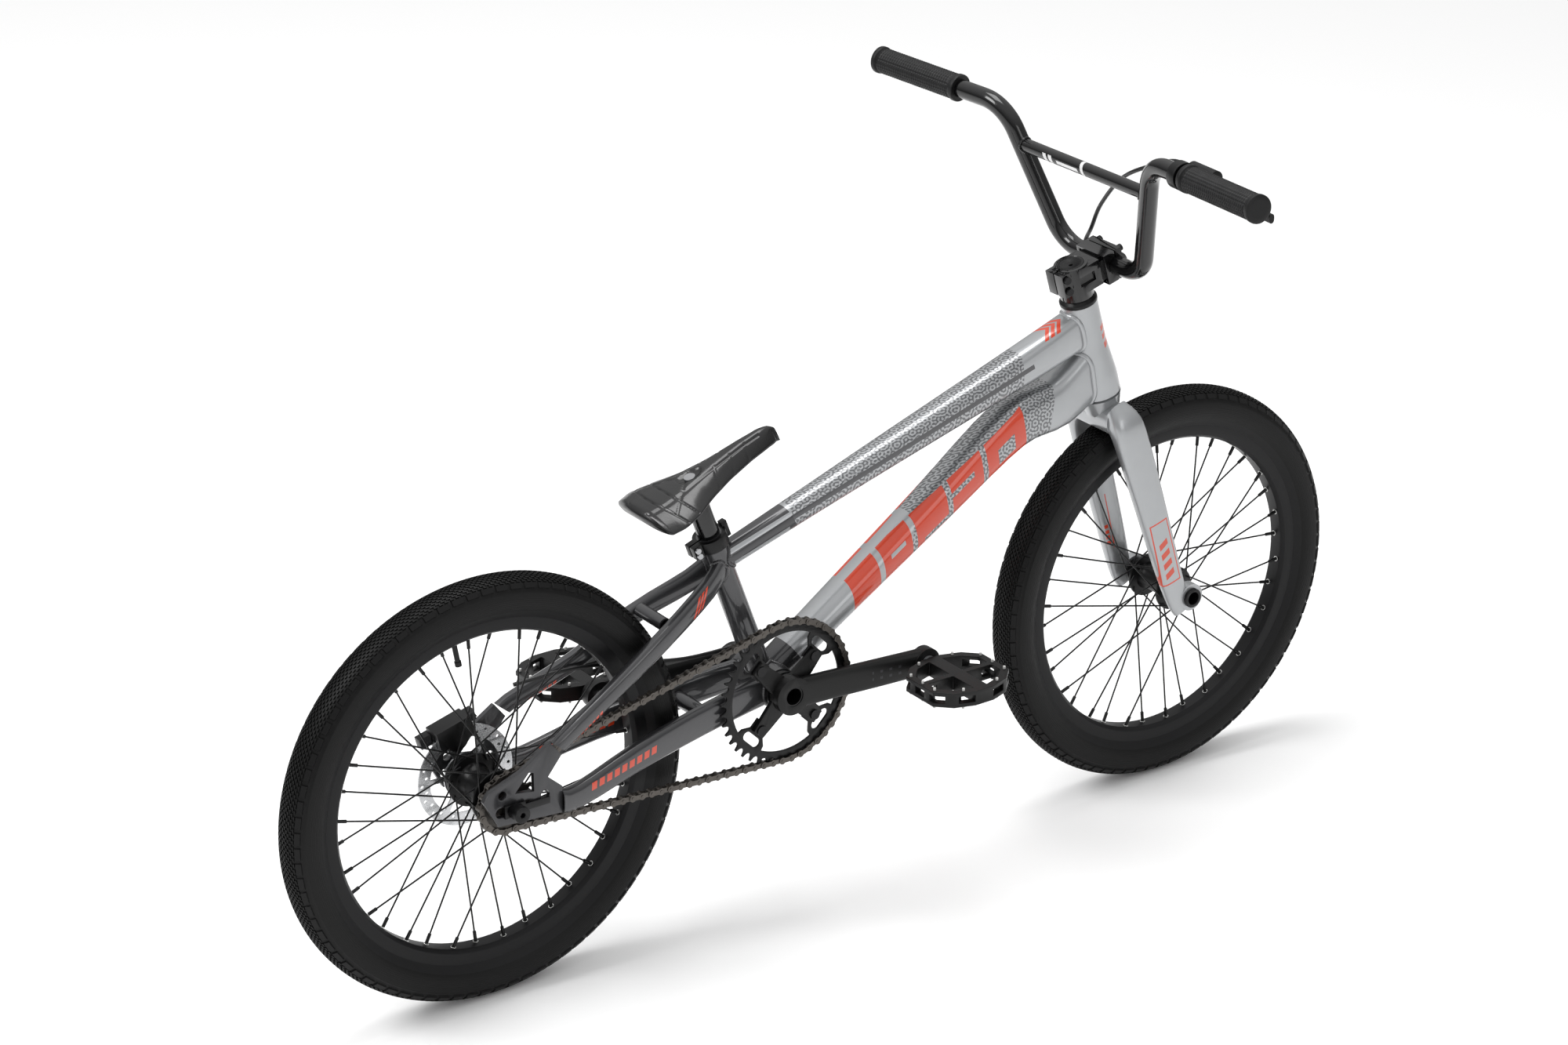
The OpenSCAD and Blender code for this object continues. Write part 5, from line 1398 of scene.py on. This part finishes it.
@dataclass
class Studio:
    """Floor, soft lights and the camera."""

    camera_at: Vector = Vector((-2.4512, -3.3620, 2.2363))
    target: Vector = Vector((-0.0801, 0, 0.4662))
    lens: float = 91.71
    floor: str = "#FFFFFF"

    def build(self) -> None:
        """Builds the whole stage."""
        self.camera()
        self.ground()
        self.light("key", Vector((-3.4, 0.9, 3.6)), 1.8, 95)
        self.light("overhead", Vector((0.2, 0.4, 3.6)), 1.6, 44)
        self.light("side", Vector((0.6, -4.2, 1.6)), 1.6, 16)
        self.sky()
        bpy.context.scene.view_settings.view_transform = "Standard"

    def aim(self, obj: bpy.types.Object, target: Vector) -> None:
        """Turns a light or camera so that it looks at a point."""
        obj.rotation_euler = (target - obj.location).to_track_quat("-Z", "Y").to_euler()

    def camera(self) -> None:
        """The camera, at the product view from behind the right side."""
        data = bpy.data.cameras.new("camera")
        data.lens = self.lens
        data.sensor_width = 36
        data.clip_end = 60
        obj = bpy.data.objects.new("camera", data)
        bpy.context.scene.collection.objects.link(obj)
        obj.location = self.camera_at
        self.aim(obj, self.target)
        bpy.context.scene.camera = obj

    def light(self, name: str, place: Vector, size: float, power: float) -> None:
        """One square soft light, aimed at the bike."""
        data = bpy.data.lights.new(name, "AREA")
        data.size = size
        data.energy = power
        obj = bpy.data.objects.new(name, data)
        bpy.context.scene.collection.objects.link(obj)
        obj.location = place
        self.aim(obj, Vector((0, 0, 0.35)))

    def sky(self) -> None:
        """A surround that is bright overhead and darker towards the horizon."""
        world = bpy.data.worlds.new("studio")
        world.use_nodes = True
        tree = world.node_tree
        up = add(tree, "SeparateXYZ", {0: add(tree, "TexCoord").outputs["Generated"]})
        level = add(
            tree,
            "MapRange",
            {"Value": up.outputs["Z"], "From Min": 0.05, "From Max": 0.75, "To Min": 0.2, "To Max": 0.95},
        )
        tree.links.new(level.outputs[0], tree.nodes["Background"].inputs["Strength"])
        tree.nodes["Background"].inputs["Color"].default_value = (1, 1, 1, 1)
        bpy.context.scene.world = world

    def ground(self) -> None:
        """A pale seamless floor."""
        deselect()
        bpy.ops.mesh.primitive_plane_add(size=30)
        obj = settle(named("floor"))
        s = Surface(Finish("paper_matte_white", self.floor, 0.0, 0.9, mottle=0.005, grain_mm=2.0, grain_depth_mm=0.01))
        dress(obj, s.done())


def main() -> None:
    """Builds the bike piece by piece, then the stage."""
    logging.basicConfig(level=logging.INFO, format="%(name)s %(message)s")
    Studio().build()
    BrakeHose().build()
    for part in (
        FrameTubes(),
        Wheel("front", PLAN.front),
        Wheel("rear", PLAN.rear),
        Steering(),
        Saddle(),
        Drivetrain(),
    ):
        part.build()
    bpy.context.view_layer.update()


if __name__ == "__main__":
    main()
